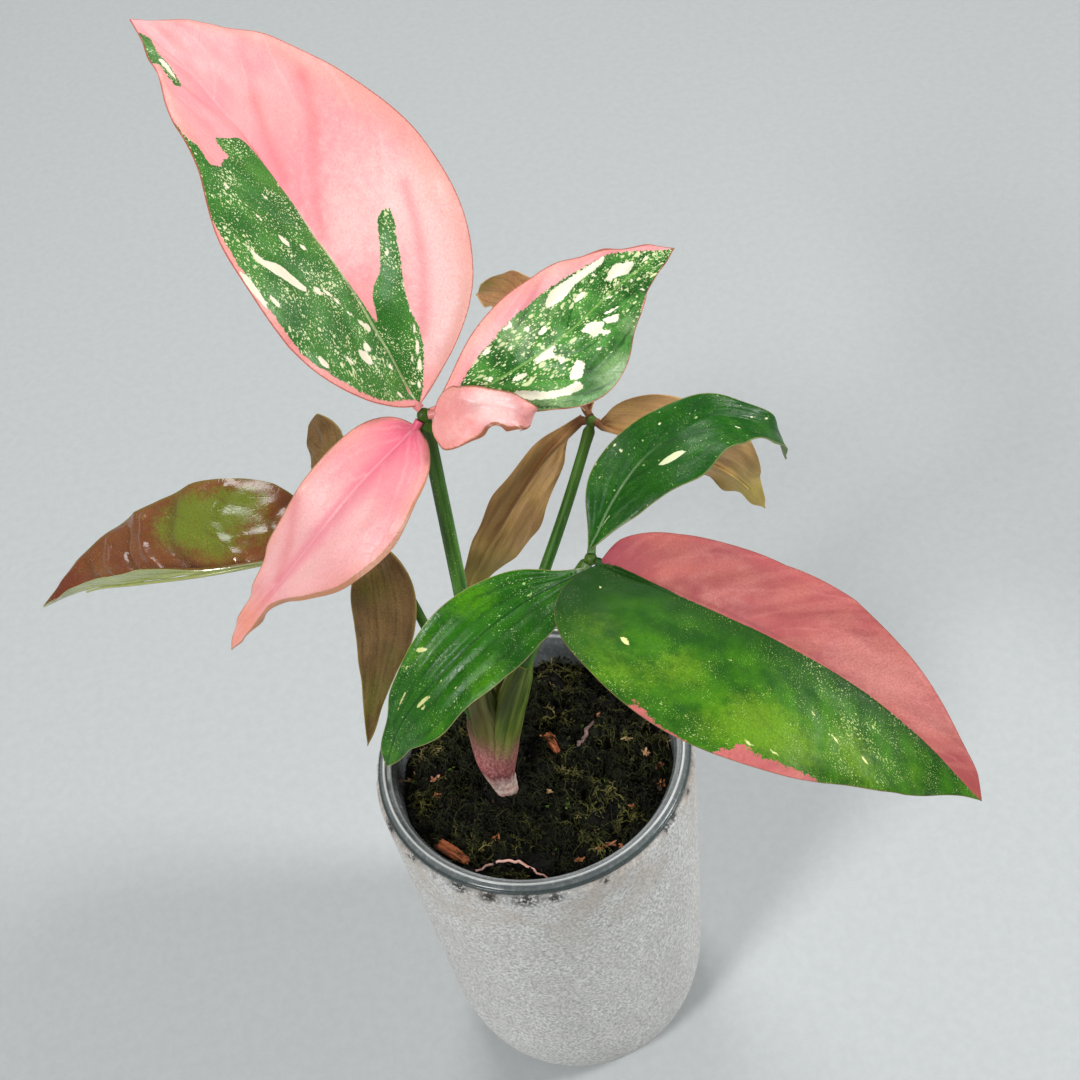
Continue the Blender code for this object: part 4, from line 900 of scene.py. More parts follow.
FINISH_LOOKS = {
    "pink_blade": PINK_BLADE,
    "pink_speckled_blade": PINK_BLADE | dict(
        mark=(tint(26, 96, 14), tint(84, 152, 62)), mark_dark=tint(18, 76, 8), cream=tint(252, 246, 220), stretch=0.5,
        rib_line=(tint(130, 176, 84), 0.8, 1.0), mark_tone=(tint(142, 178, 118), 0.9), ragged=2.4, mark_vein=tint(14, 64, 6),
        mark_lines=0.8, cream_ragged=1.7,
        specks=(("mark", 0.5, 0.55, 1.0), ("mark", 1.0, 0.5, 1.05), ("mark", 2.2, 0.42, 1.0))),
    "rose_ribbed_blade": PINK_BLADE | dict(
        ground=(tint(247, 158, 166), tint(249, 174, 172)), rib=(tint(234, 98, 136), 0.5), near=(tint(232, 92, 130), 0.2, 0.0),
        tone=(tint(253, 198, 194), 0.75), far=(tint(246, 160, 136), 0.6, 0.85), rim=(tint(178, 128, 90), 0.45, 0.85),
        rib_line=(tint(250, 190, 190), 0.4, 0.8)),
    "pink_ear_blade": PINK_BLADE | dict(
        ground=(tint(242, 150, 150), tint(247, 176, 170)), rim=(tint(150, 92, 56), 0.55, 0.9), rough=(0.28, 0.42),
        rib_line=(tint(244, 180, 176), 0.0, 0.5)),
    "green_rose_blade": dict(
        ground=(tint(28, 82, 6), tint(66, 128, 6)), tone=(tint(132, 176, 26), 0.6), cloud=0.12,
        rib=(tint(22, 68, 14), 0.85), near=(tint(22, 68, 14), 0.22, 0.05), vein=(tint(22, 80, 22), 0.2),
        shade=tint(26, 72, 4), mottle=0.45,
        mark=(tint(182, 92, 94), tint(194, 108, 100)), mark_vein=tint(222, 140, 132), mark_dark=tint(164, 80, 80),
        mark_shade=tint(156, 66, 70), mark_tone=(tint(232, 160, 150), 0.7), speck=tint(196, 218, 130), stretch=0.8,
        specks=(("ground", 0.42, 0.36, 0.85), ("ground", 0.9, 0.2, 0.8), ("ground", 3.0, 0.1, 0.85)),
        mark_streak=(tint(222, 140, 130), 0.3), ragged=4.5,
        cream=tint(232, 234, 158), rim=(tint(128, 82, 54), 0.25, 0.5),
        under=(tint(122, 146, 96), tint(104, 128, 84)), rough=(0.46, 0.6), gloss=0.2, bump=0.3),
    "furrowed_green_blade": dict(
        ground=(tint(30, 92, 14), tint(46, 116, 14)), tone=(tint(86, 156, 14), 0.85), cloud=0.1,
        vein=(tint(18, 66, 10), 0.6), vein_width=0.8, shade=tint(22, 72, 8), mottle=0.45,
        mark=(tint(30, 96, 34), tint(62, 136, 30)), speck=tint(186, 218, 140), stretch=0.7,
        specks=(("ground", 0.42, 0.34, 0.8), ("ground", 1.6, 0.2, 0.8)), rib_line=(tint(18, 66, 20), 0.8, 1.2),
        cream=tint(222, 226, 150), rim=(tint(164, 156, 96), 0.24, 0.7),
        under=(tint(122, 146, 96), tint(98, 126, 78)), rough=(0.3, 0.46), gloss=0.28, bump=0.35),
    "dark_green_blade": dict(
        ground=(tint(22, 84, 14), tint(42, 108, 20)), tone=(tint(60, 130, 24), 0.6), cloud=0.08,
        far=(tint(128, 170, 50), 0.82, 0.96), vein=(tint(14, 62, 18), 0.6),
        vein_width=0.9, shade=tint(18, 66, 14), mottle=0.45, mark=(tint(22, 84, 30), tint(44, 112, 42)),
        speck=tint(186, 216, 140), specks=(("ground", 0.42, 0.3, 0.7), ("ground", 2.6, 0.16, 0.8)),
        # Its pale rib line near the base is a painted highlight, a glossy streak along the midrib.
        rib_line=(tint(170, 200, 150), 0.35, 0.45), cream=tint(232, 238, 190), rim=(tint(150, 150, 84), 0.3, 0.6),
        under=(tint(112, 140, 90), tint(90, 120, 70)), rough=(0.32, 0.48), gloss=0.26, bump=0.35),
    "tan_blade": dict(
        ground=(tint(172, 124, 78), tint(200, 152, 98)), tone=(tint(150, 142, 54), 0.75), cloud=0.1,
        near=(tint(98, 50, 28), 0.1, 0.03), far=(tint(120, 120, 50), 0.75, 1.0), under_far=(tint(200, 184, 92), 0.5, 0.9),
        vein=(tint(122, 82, 46), 0.7), vein_width=0.5, shade=tint(112, 72, 38), mottle=0.7,
        streak=(tint(168, 118, 76), 0.5),
        mark=(tint(148, 108, 78), tint(170, 130, 92)), speck=tint(190, 160, 100), specks=(),
        cream=tint(200, 180, 130), rim=(tint(206, 166, 98), 0.5, 0.7),
        under=(tint(240, 192, 134), tint(236, 190, 116)), rough=(0.45, 0.6), glow_through=0.05, bump=0.4),
    "olive_brown_blade": dict(
        ground=(tint(108, 80, 44), tint(134, 102, 58)), tone=(tint(112, 116, 34), 0.85), cloud=0.1,
        vein=(tint(84, 66, 30), 0.7), vein_width=0.5, shade=tint(72, 50, 24), mottle=0.7,
        streak=(tint(150, 118, 68), 0.45),
        mark=(tint(148, 108, 78), tint(170, 130, 92)), speck=tint(190, 160, 100), specks=(),
        cream=tint(200, 180, 130), rim=(tint(150, 134, 66), 0.45, 0.8),
        under=(tint(144, 120, 64), tint(124, 110, 50)), rough=(0.4, 0.55), glow_through=0.05, bump=0.4),
    "brown_blade": dict(
        ground=(tint(128, 68, 36), tint(142, 88, 44)), tone=(tint(118, 142, 38), 0.95), cloud=0.09,
        far=(tint(120, 44, 28), 0.72, 0.95),
        vein=(tint(100, 76, 32), 0.4), shade=tint(84, 50, 22), mottle=0.6,
        mark=(tint(110, 66, 44), tint(116, 98, 44)), speck=tint(200, 186, 96),
        specks=(("ground", 0.5, 0.3, 0.8),), cream=tint(200, 190, 140), rim=(tint(116, 110, 40), 1.3, 0.6),
        under=(tint(188, 196, 128), tint(168, 180, 104)), rough=(0.14, 0.28), glow_through=0.05, gloss=0.7, bump=0.25),
}
BLADE_FINISH = {
    "leaf_a_middle": ("pink_blade", "leaf_pink"), "leaf_a_right": ("pink_speckled_blade", "leaf_pink"),
    "leaf_a_ear": ("pink_ear_blade", "leaf_pink"), "leaf_a_left": ("rose_ribbed_blade", "leaf_pink"),
    "leaf_b_middle": ("green_rose_blade", "leaf_green"), "leaf_b_left": ("furrowed_green_blade", "leaf_green"),
    "leaf_b_upper": ("dark_green_blade", "leaf_green"), "leaf_c_left": ("tan_blade", "leaf_tan"),
    "leaf_c_right": ("tan_blade", "leaf_tan"), "leaf_c_back": ("tan_blade", "leaf_tan"),
    "leaf_d_left": ("brown_blade", "leaf_brown"),
    "leaf_d_front": ("olive_brown_blade", "leaf_brown"), "leaf_d_back": ("olive_brown_blade", "leaf_brown"),
}


def rounded(outline):
    """The outline with its corners cut once."""
    outline = np.asarray(outline, float)
    following = np.roll(outline, -1, axis=0)
    return np.stack((0.8 * outline + 0.2 * following, 0.2 * outline + 0.8 * following), 1).reshape(-1, 2)


def finer(outline, step=0.02):
    """The outline with points added along its long edges."""
    parts = []
    for start, end in zip(outline, np.roll(outline, -1, axis=0)):
        count = max(1, int(np.abs(end - start).max() / step))
        parts.append(start + (end - start) * np.linspace(0, 1, count, endpoint=False)[:, None])
    return np.concatenate(parts)


def line_distance(points, places):
    """Distance of places to a line through points."""
    nearest = np.full(len(places), 1e9)
    for start, end in zip(points, points[1:]):
        along = end - start
        share = np.clip(((places - start) @ along) / max(along @ along, 1e-9), 0, 1)
        nearest = np.minimum(nearest, np.linalg.norm(places - start - share[:, None] * along, axis=1))
    return nearest


def outline_distance(outline, places):
    """Distance of places to a closed outline, above zero inside it."""
    nearest = line_distance(np.vstack((outline, outline[:1])), places)
    inside = np.zeros(len(places), bool)
    for start, end in zip(outline, np.roll(outline, -1, axis=0)):
        if start[1] != end[1]:
            crosses = (start[1] > places[:, 1]) != (end[1] > places[:, 1])
            meet = start[0] + (places[:, 1] - start[1]) * (end[0] - start[0]) / (end[1] - start[1])
            inside ^= crosses & (places[:, 0] < meet)
    return np.where(inside, nearest, -nearest)


def mark_distance(blade, length, outlines, flecks, places):
    """Distance (mm) to the nearest of a blade's marks, above zero inside one; -20 if far from all."""
    distance = np.full(len(places), -20.0)
    for outline in outlines:
        across, along = finer(rounded(outline)).T
        flat = np.stack((across * half_width(blade, np.clip(along, 0, 1), across), along * length), 1)
        distance = np.maximum(distance, outline_distance(flat, places))
    for across, along, long, wide in flecks:
        centre = (across * half_width(blade, np.array([along]), np.array([across]))[0], along * length)
        lean = np.radians(25 if across > 0 else -25)
        aside = (places[:, 0] - centre[0]) * np.cos(lean) - (places[:, 1] - centre[1]) * np.sin(lean)
        onward = (places[:, 0] - centre[0]) * np.sin(lean) + (places[:, 1] - centre[1]) * np.cos(lean)
        distance = np.maximum(distance, (1 - np.hypot(aside / wide, onward / long)) * wide)
    return distance


def soft_spots(blade, length, spots, places):
    """How strongly soft spots, such as those of a third tone, show at places."""
    strength = np.zeros(len(places))
    for across, along, size, share in spots:
        centre = (across * half_width(blade, np.array([along]), np.array([across]))[0], along * length)
        near = ((places[:, 0] - centre[0])**2 + (places[:, 1] - centre[1])**2) / size**2
        strength += share * np.exp(-near)
    return np.clip(strength, -2.0, 1.0)


def grid_normals(surface):
    """Directions square to a grid of points, with the last row's taken from the row before."""
    onward = np.gradient(surface, axis=0)
    aside = np.gradient(surface, axis=1)
    normals = unit(np.cross(onward, aside))
    normals[-1] = normals[-2]
    return normals


def blade_piece(name, finishes):
    """One blade with its furrows, waves and rim, and the rib that carries it from the stalk's knob."""
    blade = BLADES[name]
    relief = RELIEF[name]
    seed = SEED + list(BLADES).index(name)
    length = path_length(blade["midrib"])
    rows = int(length / FINE) + 1
    columns = 2 * int((max(blade["left"]) + max(blade["right"])) / FINE / 2) + 1
    along, across = [axis.ravel() for axis in
                     np.meshgrid(np.linspace(0, 1, rows), np.linspace(-1, 1, columns), indexing="ij")]
    trim_places, trim_shares = TRIMS.get(name, ((0, 1), (1, 1)))
    reach = np.where(across > 0, np.interp(along, trim_places, trim_shares), 1.0)
    reach = reach + 0.03 * rolling(along * 9, np.sign(across) * 3.0, 1.0, seed + 9) * np.sin(np.pi * along)
    half = np.maximum(half_width(blade, along, across) * reach, 0.15)
    aside = across * half
    onward = along * length
    away = np.abs(across)
    top = blade_points(blade, along, across * reach).reshape(rows, columns, 3)
    tip_side = unit(top[-2, -1] - top[-2, 0])
    top[-1] += np.linspace(-0.12, 0.12, columns)[:, None] * tip_side
    normals = grid_normals(top).reshape(-1, 3)
    top = top.reshape(-1, 3)
    if "parallel" in relief:
        phase = relief["parallel"] * away**0.85 * (1 - 0.3 * along) + 0.15
        phase += 0.2 * rolling(onward, aside * 0.3, length / 5, seed + 50)
        steepness = relief["parallel"] / np.maximum(half, 2.0)
    else:
        phase = relief["veins"] * (along - relief["forward"] * away**1.4) + np.where(across > 0, 0.37, 0.0)
        phase += 0.22 * rolling(onward, aside * 0.25, length / 7, seed + 50)
        bend = relief["forward"] * 1.4 * away**0.4 / np.maximum(half, 2.0)
        steepness = relief["veins"] * np.hypot(1 / length, bend)
    vein = (phase - np.round(phase)) / steepness
    calm = ease(0.0, 0.1, along) * (1 - ease(0.75, 0.97, along)) * (1 - away**4) * ease(2.0, 6.0, half)
    lift = -0.6 * relief["furrow"] * np.exp(-(vein / 1.3)**2) * calm * ease(0.0, 0.2, away)
    lift -= 0.6 * relief["furrow"] * np.cos(2 * np.pi * phase) * calm * ease(0.0, 0.3, away)
    lift -= 0.55 * np.exp(-(aside / 0.8)**2) * (1 - along) * ease(0.0, 0.06, along)
    wave_height, wave_count = relief["waves"]
    turn = 2 * np.pi * wave_count * along + np.where(across > 0, 0.4, 2.1) + seed
    lift += wave_height * np.sin(turn) * away**3 * ease(0.02, 0.2, along) * (1 - ease(0.85, 1.0, along))
    bumps = rolling(aside, onward, 13.0, seed) + 0.45 * rolling(aside * 1.6, onward * 0.7, 5.0, seed + 1)
    lift += relief["crumple"] * bumps * ease(0.02, 0.15, along) * ease(0.0, 5.0, half)
    places = np.stack((aside, onward), 1)
    # fold: nearness to a crease furrow, which the finish darkens as painted shade.
    fold = np.zeros(len(places))
    for line, height, wide in CREASES.get(name, ()):
        line_across, line_along = np.asarray(line, float).T
        flat = np.stack((line_across * half_width(blade, line_along, line_across), line_along * length), 1)
        flat = smooth_path(np.column_stack((flat, np.zeros(len(flat)))), np.linspace(0, 1, 16))[:, :2]
        near = np.exp(-(line_distance(flat, places) / wide)**2) * ease(0.0, 5.0, half)
        lift += height * near
        fold = np.maximum(fold, near * (height < 0))
    side, start, end, wide = EDGE_BANDS.get(name, (1, 0.0, 1.0, 0.0))
    band = wide * (across * side > 0) * ease(start, start + 0.15, along) * (1 - ease(end - 0.15, end, along))
    lift -= 0.5 * band * ease(0.7, 1.0, away)
    lift -= 0.35 * ease(0.88, 1.0, away) * ease(1.0, 5.0, half)
    top = top + normals * lift[:, None]
    thick = 0.4 + 0.7 * np.exp(-(aside / 1.1)**2) * (1 - 0.8 * along) - 0.15 * away**6
    bottom = top - normals * thick[:, None]
    values = dict(
        place=np.stack((aside + 31 * seed, onward + 17 * seed, np.zeros(len(aside))), 1),
        spot=np.stack((across, along, np.zeros(len(along))), 1),
        tone=soft_spots(blade, length, TONES.get(name, ()), places), vein=vein, middle=np.abs(aside),
        crowd=soft_spots(blade, length, CROWDS.get(name, ()), places), fold=fold,
        mark_tone=soft_spots(blade, length, MARK_TONES.get(name, ()), places),
        mark=mark_distance(blade, length, PATCHES.get(name, ()), (), places),
        cream=mark_distance(blade, length, CREAM_MARKS.get(name, ()), FLECKS.get(name, ()), places),
        edge=(1 - away) * half - band * (1 + 0.3 * rolling(onward, aside * 0, 4.0, seed)))
    shape = Shape()
    shape.add(top, grid_faces(rows, columns, flip=True), under=0.0, **values)
    shape.add(bottom, grid_faces(rows, columns), under=1.0, **values)
    corners = [c for c in range(columns - 1, 0, -1)]
    corners += [r * columns for r in range(rows - 1)]
    corners += [(rows - 1) * columns + c for c in range(columns - 1)]
    corners += [r * columns + columns - 1 for r in range(rows - 1, 0, -1)]
    total = rows * columns
    wall = [(b, a, a + total, b + total) for a, b in zip(corners, corners[1:] + corners[:1])]
    shape.faces.extend(wall)
    add_rib(shape, name, blade, length, seed)
    finish, slot = BLADE_FINISH[name]
    return shape.piece(name.replace("leaf_", "blade_"), finishes[finish], [name])


def add_rib(shape, name, blade, length, seed):
    """The rib under the midrib, which runs on into the stalk's knob."""
    hub = np.asarray(STALKS[name.split("_")[1]]["route"][-1], float)
    shares = np.linspace(0.012, 0.82, 40)
    middle = blade_points(blade, shares, np.zeros(40))
    left = blade_points(blade, shares, np.full(40, 0.02))
    onward = np.gradient(middle, axis=0)
    down = -unit(np.cross(onward, left - middle))
    radii = np.interp(shares, (0, 0.15, 0.82), (1.05, 0.7, 0.3))
    sink = radii + 0.35 + 0.9 * ease(0.0, 0.12, shares)
    route = np.vstack((hub + 0.35 * (middle[0] - hub), middle + down * sink[:, None]))
    radii = np.concatenate(([1.15], radii))
    points, faces, turns, lengths = tube_surface(route, radii, 10)
    share = np.clip(lengths / length, 0, 1)
    shape.add(points, faces, under=0.85, mark=-20.0, cream=-20.0, edge=5.0, vein=5.0, tone=0.0, middle=5.0, crowd=0.0, mark_tone=0.0, fold=0.0,
              place=np.stack((turns * 6 + 31 * seed, lengths + 17 * seed, np.zeros(len(turns))), 1),
              spot=np.stack((np.full(len(turns), 0.5), share, np.zeros(len(turns))), 1))


def stalk_piece(letter, finish):
    """A leaf stalk: ribbed, with a groove on its upper side, swelling into the knob under its blades."""
    stalk = STALKS[letter]
    length = path_length(stalk["route"])
    start = stalk["sheath"] - 6.0 / length
    neck = 1 - 1.1 * KNOB_RADIUS / length
    shares = np.linspace(start, neck, int((neck - start) * length / 1.2))
    way = (shares - start) / (neck - start)
    radii = stalk["radius"] * (1.0 - 0.14 * way + 0.1 * ease(0.93, 1.0, way))
    points = smooth_path(stalk["route"], shares)
    hub = np.asarray(stalk["route"][-1], float)
    ahead = unit(hub - points[-1])
    turns = np.radians((-50, -35, -18, 0, 18, 35, 50, 62, 72, 82))
    knob = 0.4 * (KNOB_RADIUS + stalk["radius"])
    points = np.vstack((points, hub + np.outer(np.sin(turns) * knob, ahead)))
    radii = np.concatenate((radii, knob * np.cos(turns)))

    def section(turn, share):
        groove = 0.12 * np.exp(-((turn - 0.25) / 0.07)**2)
        return 1.0 + 0.02 * np.sin(2 * np.pi * (11 * turn + 0.3 * np.sin(9 * share))) - groove

    surface, faces, turns, lengths = tube_surface(points, radii, 32, section)
    seed = SEED + 30 + ord(letter)
    shape = Shape()
    shape.add(surface, faces, height=surface[:, 2], tone=ease(0.8, 1.0, lengths / lengths.max()),
              place=np.stack((turns * 2 * np.pi * stalk["radius"], lengths, np.full(len(turns), float(seed))), 1))
    return shape.piece(f"stalk_{letter}", finish, [f"petiole_{letter}"])


def crown_piece(finish):
    """The short stem and the sheaths that wrap each other: grooved, each tapering off along its stalk."""
    shape = Shape()
    levels = np.linspace(SOIL_TOP - STEM_DEPTH + 0.3, SOIL_TOP + 24, 40)
    rings = 1 + 0.05 * np.sin(levels * 1.9) * np.exp(-((levels - SOIL_TOP - 3) / 5)**2)
    radii = np.interp(levels, (115, 118, 129, 138, 150), (2.6, 3.4, 3.5, 3.7, 2.6)) * rings
    points = np.stack((np.full(40, STEM_PLACE[0]), np.full(40, STEM_PLACE[1]), levels), 1)
    surface, faces, turns, lengths = tube_surface(points, radii, 48)
    shape.add(surface, faces, height=surface[:, 2], tone=0.0,
              place=np.stack((turns * 22, lengths, np.full(len(turns), 3.0)), 1))
    for number, (letter, stalk) in enumerate(STALKS.items()):
        length = path_length(stalk["route"])
        shares = np.linspace(SHEATH_START / length, stalk["sheath"], 70)
        way = np.linspace(0, 1, 70)
        radii = smooth_read((0, 0.35, 0.7, 1), stalk["wraps"], way) * (1 - 0.2 * ease(0.35, 0.0, way))
        radii = radii * (1 - 0.18 * ease(0.9, 1.0, way))
        points = smooth_path(stalk["route"], shares)

        def section(turn, share, number=number):
            folds = 0.035 * np.sin(2 * np.pi * (9 * turn + 0.4 * np.sin(7 * share + number)))
            seam = 0.16 * np.exp(-(((turn - 0.2 * number) % 1.0 - 0.5) / 0.035)**2) * ease(0.05, 0.3, share)
            return 1.0 + folds * ease(0.0, 0.2, share) - seam

        surface, faces, turns, lengths = tube_surface(points, radii, 48, section)
        shape.add(surface, faces, height=surface[:, 2], tone={"a": 0.25, "b": 0.75, "c": 0.2, "d": 0.0}[letter],
                  place=np.stack((turns * 25, lengths, np.full(len(turns), 9.0 + number)), 1))
    return shape.piece("crown_sheaths", finish, ["crown"])


def stalk_finish(name):
    """Fresh green with long streaks and pale dots, browner at the knob."""
    finish, board, shader = new_finish(name)
    place = board.value("place").outputs["Vector"]
    fibres = board.use(GROUPS["fibres"], {"Place": place, "Width": 1.0, "Stretch": 14.0})
    colour = board.mix(board.step(fibres["Streak"], 0.35, 0.65), tint(40, 88, 16), tint(80, 130, 40))
    colour = board.mix(board.step(fibres["Fine"], 0.5, 0.8, 0.0, 0.35), colour, tint(124, 164, 84))
    colour = board.mix(board.math("MULTIPLY", board.value("tone").outputs["Fac"], 0.7), colour, tint(64, 86, 20))
    speck = board.use(GROUPS["speckles"], {"Place": place, "Spacing": 0.9, "Largest": 0.3, "Cover": 0.8})["Speck"]
    speck = board.math("MULTIPLY", speck, board.step(board.value("tone").outputs["Fac"], 0.5, 0.0, 0.0, 0.5))
    colour = board.mix(speck, colour, tint(196, 214, 160))
    board.feed(shader.inputs["Base Color"], colour)
    board.feed(shader.inputs["Roughness"], board.step(fibres["Fine"], 0.3, 0.8, 0.4, 0.58))
    shader.inputs["Specular IOR Level"].default_value = 0.3
    shader.inputs["Subsurface Weight"].default_value = 0.12
    shader.inputs["Subsurface Scale"].default_value = 1.2 * MM
    bump(board, shader, fibres["Fine"], 0.12, 0.5)
    return finish


def crown_finish():
    """White and pink at the foot, then dull magenta, then olive brown and green folds, and a dark ring of painted shade
    at the notch.
    """
    finish, board, shader = new_finish("sheath_folds")
    place = board.value("place").outputs["Vector"]
    tone = board.value("tone").outputs["Fac"]
    fibres = board.use(GROUPS["fibres"], {"Place": place, "Width": 0.9, "Stretch": 16.0})
    broad = board.use(GROUPS["fibres"], {"Place": place, "Width": 2.6, "Stretch": 6.0})
    spots = board.noise(place, 1.2, 4.0, 0.7)
    height = board.math("MULTIPLY_ADD", fibres["Streak"], 10.0, board.value("height").outputs["Fac"])
    height = board.math("MULTIPLY_ADD", broad["Streak"], 10.0, height)
    olive = board.mix(board.step(broad["Streak"], 0.38, 0.6), tint(56, 60, 22), tint(132, 120, 66))
    olive = board.mix(board.step(fibres["Streak"], 0.5, 0.66, 0.0, 0.45), olive, tint(172, 158, 112))
    green = board.mix(board.step(fibres["Streak"], 0.36, 0.64), tint(62, 96, 22), tint(116, 140, 52))
    upper = board.mix(tone, olive, green)
    dusky = board.mix(board.step(spots, 0.4, 0.6), tint(150, 84, 84), tint(196, 140, 130))
    colour = board.mix(board.step(height, 156.0, 172.0), dusky, upper)
    magenta = board.mix(board.step(spots, 0.4, 0.62), tint(158, 78, 84), tint(206, 140, 136))
    colour = board.mix(board.step(height, 162.0, 150.0), colour, magenta)
    pale = board.mix(board.step(spots, 0.42, 0.6), tint(218, 168, 158), tint(242, 224, 212))
    colour = board.mix(board.step(height, 150.0, 143.5), colour, pale)
    colour = board.mix(board.step(fibres["Fine"], 0.5, 0.85, 0.0, 0.5), colour, tint(104, 66, 44))
    # Painted shade: a dark red-brown ring where the notch above the foot is; the shape has no notch cut there.
    from_notch = board.math("ABSOLUTE", board.math("SUBTRACT", height, 149.0))
    colour = board.mix(board.step(from_notch, 1.3, 0.2, 0.0, 0.55), colour, tint(84, 36, 34))
    board.feed(shader.inputs["Base Color"], colour)
    board.feed(shader.inputs["Roughness"], board.step(fibres["Fine"], 0.3, 0.8, 0.36, 0.6))
    shader.inputs["Specular IOR Level"].default_value = 0.3
    shader.inputs["Subsurface Weight"].default_value = 0.12
    shader.inputs["Subsurface Scale"].default_value = 1.2 * MM
    bump(board, shader, board.math("ADD", fibres["Fine"], spots), 0.2, 0.8)
    return finish


def soil_height(x, y):
    """The height (mm) of the substrate's top, in the same broad bumps as the solid, with finer ones."""
    broad = 0.9 * np.sin(0.19 * x + 1.3) * np.cos(0.23 * y - 0.4)
    clumps = 0.8 * np.sin(0.47 * x - 0.31 * y + 0.7) + 0.6 * np.cos(0.38 * x + 0.55 * y)
    small = 0.45 * np.sin(0.95 * x + 0.4 * y) * np.sin(0.9 * y - 0.35 * x)
    edge = np.clip((SOIL_TOP_RADIUS - np.hypot(x, y)) / 8.0, 0.0, 1.0)
    from_stem = np.hypot(x - STEM_PLACE[0], y - STEM_PLACE[1])
    calm = (0.35 + 0.65 * edge) * np.clip((from_stem - STEM_RADIUS) / 8.0, 0.0, 1.0)
    crumbs = 1.3 * rolling(x, y, 3.0, 5) + 0.9 * rolling(x, y, 1.5, 6) + 0.45 * rolling(x, y, 0.8, 7)
    crumbs = crumbs - 2.2 * ease(0.25, 0.8, rolling(x, y, 5.0, 9)) * np.clip((from_stem - STEM_RADIUS) / 5.0, 0, 1)
    return SOIL_TOP + (broad + clumps + small) * calm - 1.5 * (1 - edge) + crumbs * (0.4 + 0.6 * edge)


def substrate_piece(finish):
    """Moss and peat: a crumbly top round the stem, and plain walls down to the nursery pot's floor."""
    steps = 300
    turn = np.linspace(0, 2 * np.pi, steps, endpoint=False)
    ring = np.stack((np.cos(turn), np.sin(turn)), 1)
    inner = np.asarray(STEM_PLACE) + ring * (STEM_RADIUS + 0.1)
    outer = ring * SOIL_TOP_RADIUS
    rows = [np.column_stack((inner, np.full(steps, SOIL_TOP - STEM_DEPTH)))]
    for share in np.linspace(0, 1, 96):
        flat = inner * (1 - share) + outer * share
        rows.append(np.column_stack((flat, soil_height(*flat.T))))
    for share in (0.25, 0.5, 0.75, 1.0):
        radius = SOIL_TOP_RADIUS + (SOIL_FLOOR_RADIUS - SOIL_TOP_RADIUS) * share
        rows.append(np.column_stack((ring * radius, rows[96][:, 2] * (1 - share) + SOIL_FLOOR * share)))
    surface = np.concatenate(rows)
    count = len(rows)
    middle = np.array(((*STEM_PLACE, SOIL_TOP - STEM_DEPTH), (0.0, 0.0, SOIL_FLOOR)))
    faces = grid_faces(count, steps, closed=True, flip=True)
    first = count * steps
    last = (count - 1) * steps
    faces += [(first, i, (i + 1) % steps) for i in range(steps)]
    faces += [(first + 1, last + (i + 1) % steps, last + i) for i in range(steps)]
    shape = Shape()
    everything = np.vstack((surface, middle))
    shape.add(everything, faces, place=everything)
    return shape.piece("moss_bed", finish, ["substrate"], angle=180.0)


def scattered(count, random, margin=1.0):
    """Random places on the substrate, clear of the stem."""
    radius = (SOIL_TOP_RADIUS - margin) * np.sqrt(random.uniform(0, 1, 3 * count))
    turn = random.uniform(0, 2 * np.pi, 3 * count)
    places = np.stack((radius * np.cos(turn), radius * np.sin(turn)), 1)
    clear = np.hypot(places[:, 0] - STEM_PLACE[0], places[:, 1] - STEM_PLACE[1]) > STEM_RADIUS + 1.0
    return places[clear][:count]


def moss_strands(finish):
    """Fine moss strands that curl over the substrate, each with small leaves along it."""
    random = np.random.default_rng(SEED)
    shape = Shape()
    knots = 8
    share = np.linspace(0, 1, knots)
    for place in scattered(1200, random, 1.5):
        long = random.uniform(3.0, 9.0)
        heading = random.uniform(0, 2 * np.pi) + np.cumsum(random.normal(0, 0.45, knots))
        step = long / knots * np.stack((np.cos(heading), np.sin(heading)), 1)
        flat = place + np.cumsum(step, axis=0)
        distance = np.hypot(*flat.T)
        flat *= (np.minimum(distance, SOIL_TOP_RADIUS - 0.6) / np.maximum(distance, 1e-6))[:, None]
        lift = random.uniform(0.1, 3.2) * np.sin(np.pi * share) + 0.15
        points = np.column_stack((flat, soil_height(*flat.T) + lift))
        if np.min(np.hypot(*(flat - STEM_PLACE).T)) < STEM_RADIUS + 0.6:
            continue
        if min(line_distance(np.array(line, float), flat).min() for line in (EXPOSED_ROOT, TWIG)) < 0.9:
            continue
        radius = random.uniform(0.12, 0.34) * (1 - 0.6 * share)
        surface, faces, turns, lengths = tube_surface(points, radius, 3)
        tone = 0.75 * ease(-0.2, 0.9, rolling(*place, 7.0, 12)) * random.uniform(0.5, 1.0) + random.uniform(0, 0.3)
        shape.add(surface, faces, tone=tone, place=surface)
        for knot in range(1, knots - 1):
            side = random.choice((-1.0, 1.0))
            across = side * np.array((-np.sin(heading[knot]), np.cos(heading[knot]), random.uniform(-0.2, 0.8)))
            ahead = np.array((np.cos(heading[knot]), np.sin(heading[knot]), 0.2))
            size = random.uniform(0.5, 1.5)
            root = points[knot]
            leaf = (root, root + size * (0.5 * across + 0.35 * ahead), root + size * (1.2 * across + 0.6 * ahead),
                    root + size * (0.6 * across - 0.15 * ahead) + (0, 0, 0.12))
            shape.add(leaf, ((0, 1, 2), (0, 2, 3), (0, 3, 1), (1, 3, 2)), tone=tone, place=np.array(leaf))
    return shape.piece("moss_strands", finish, (), angle=180.0)


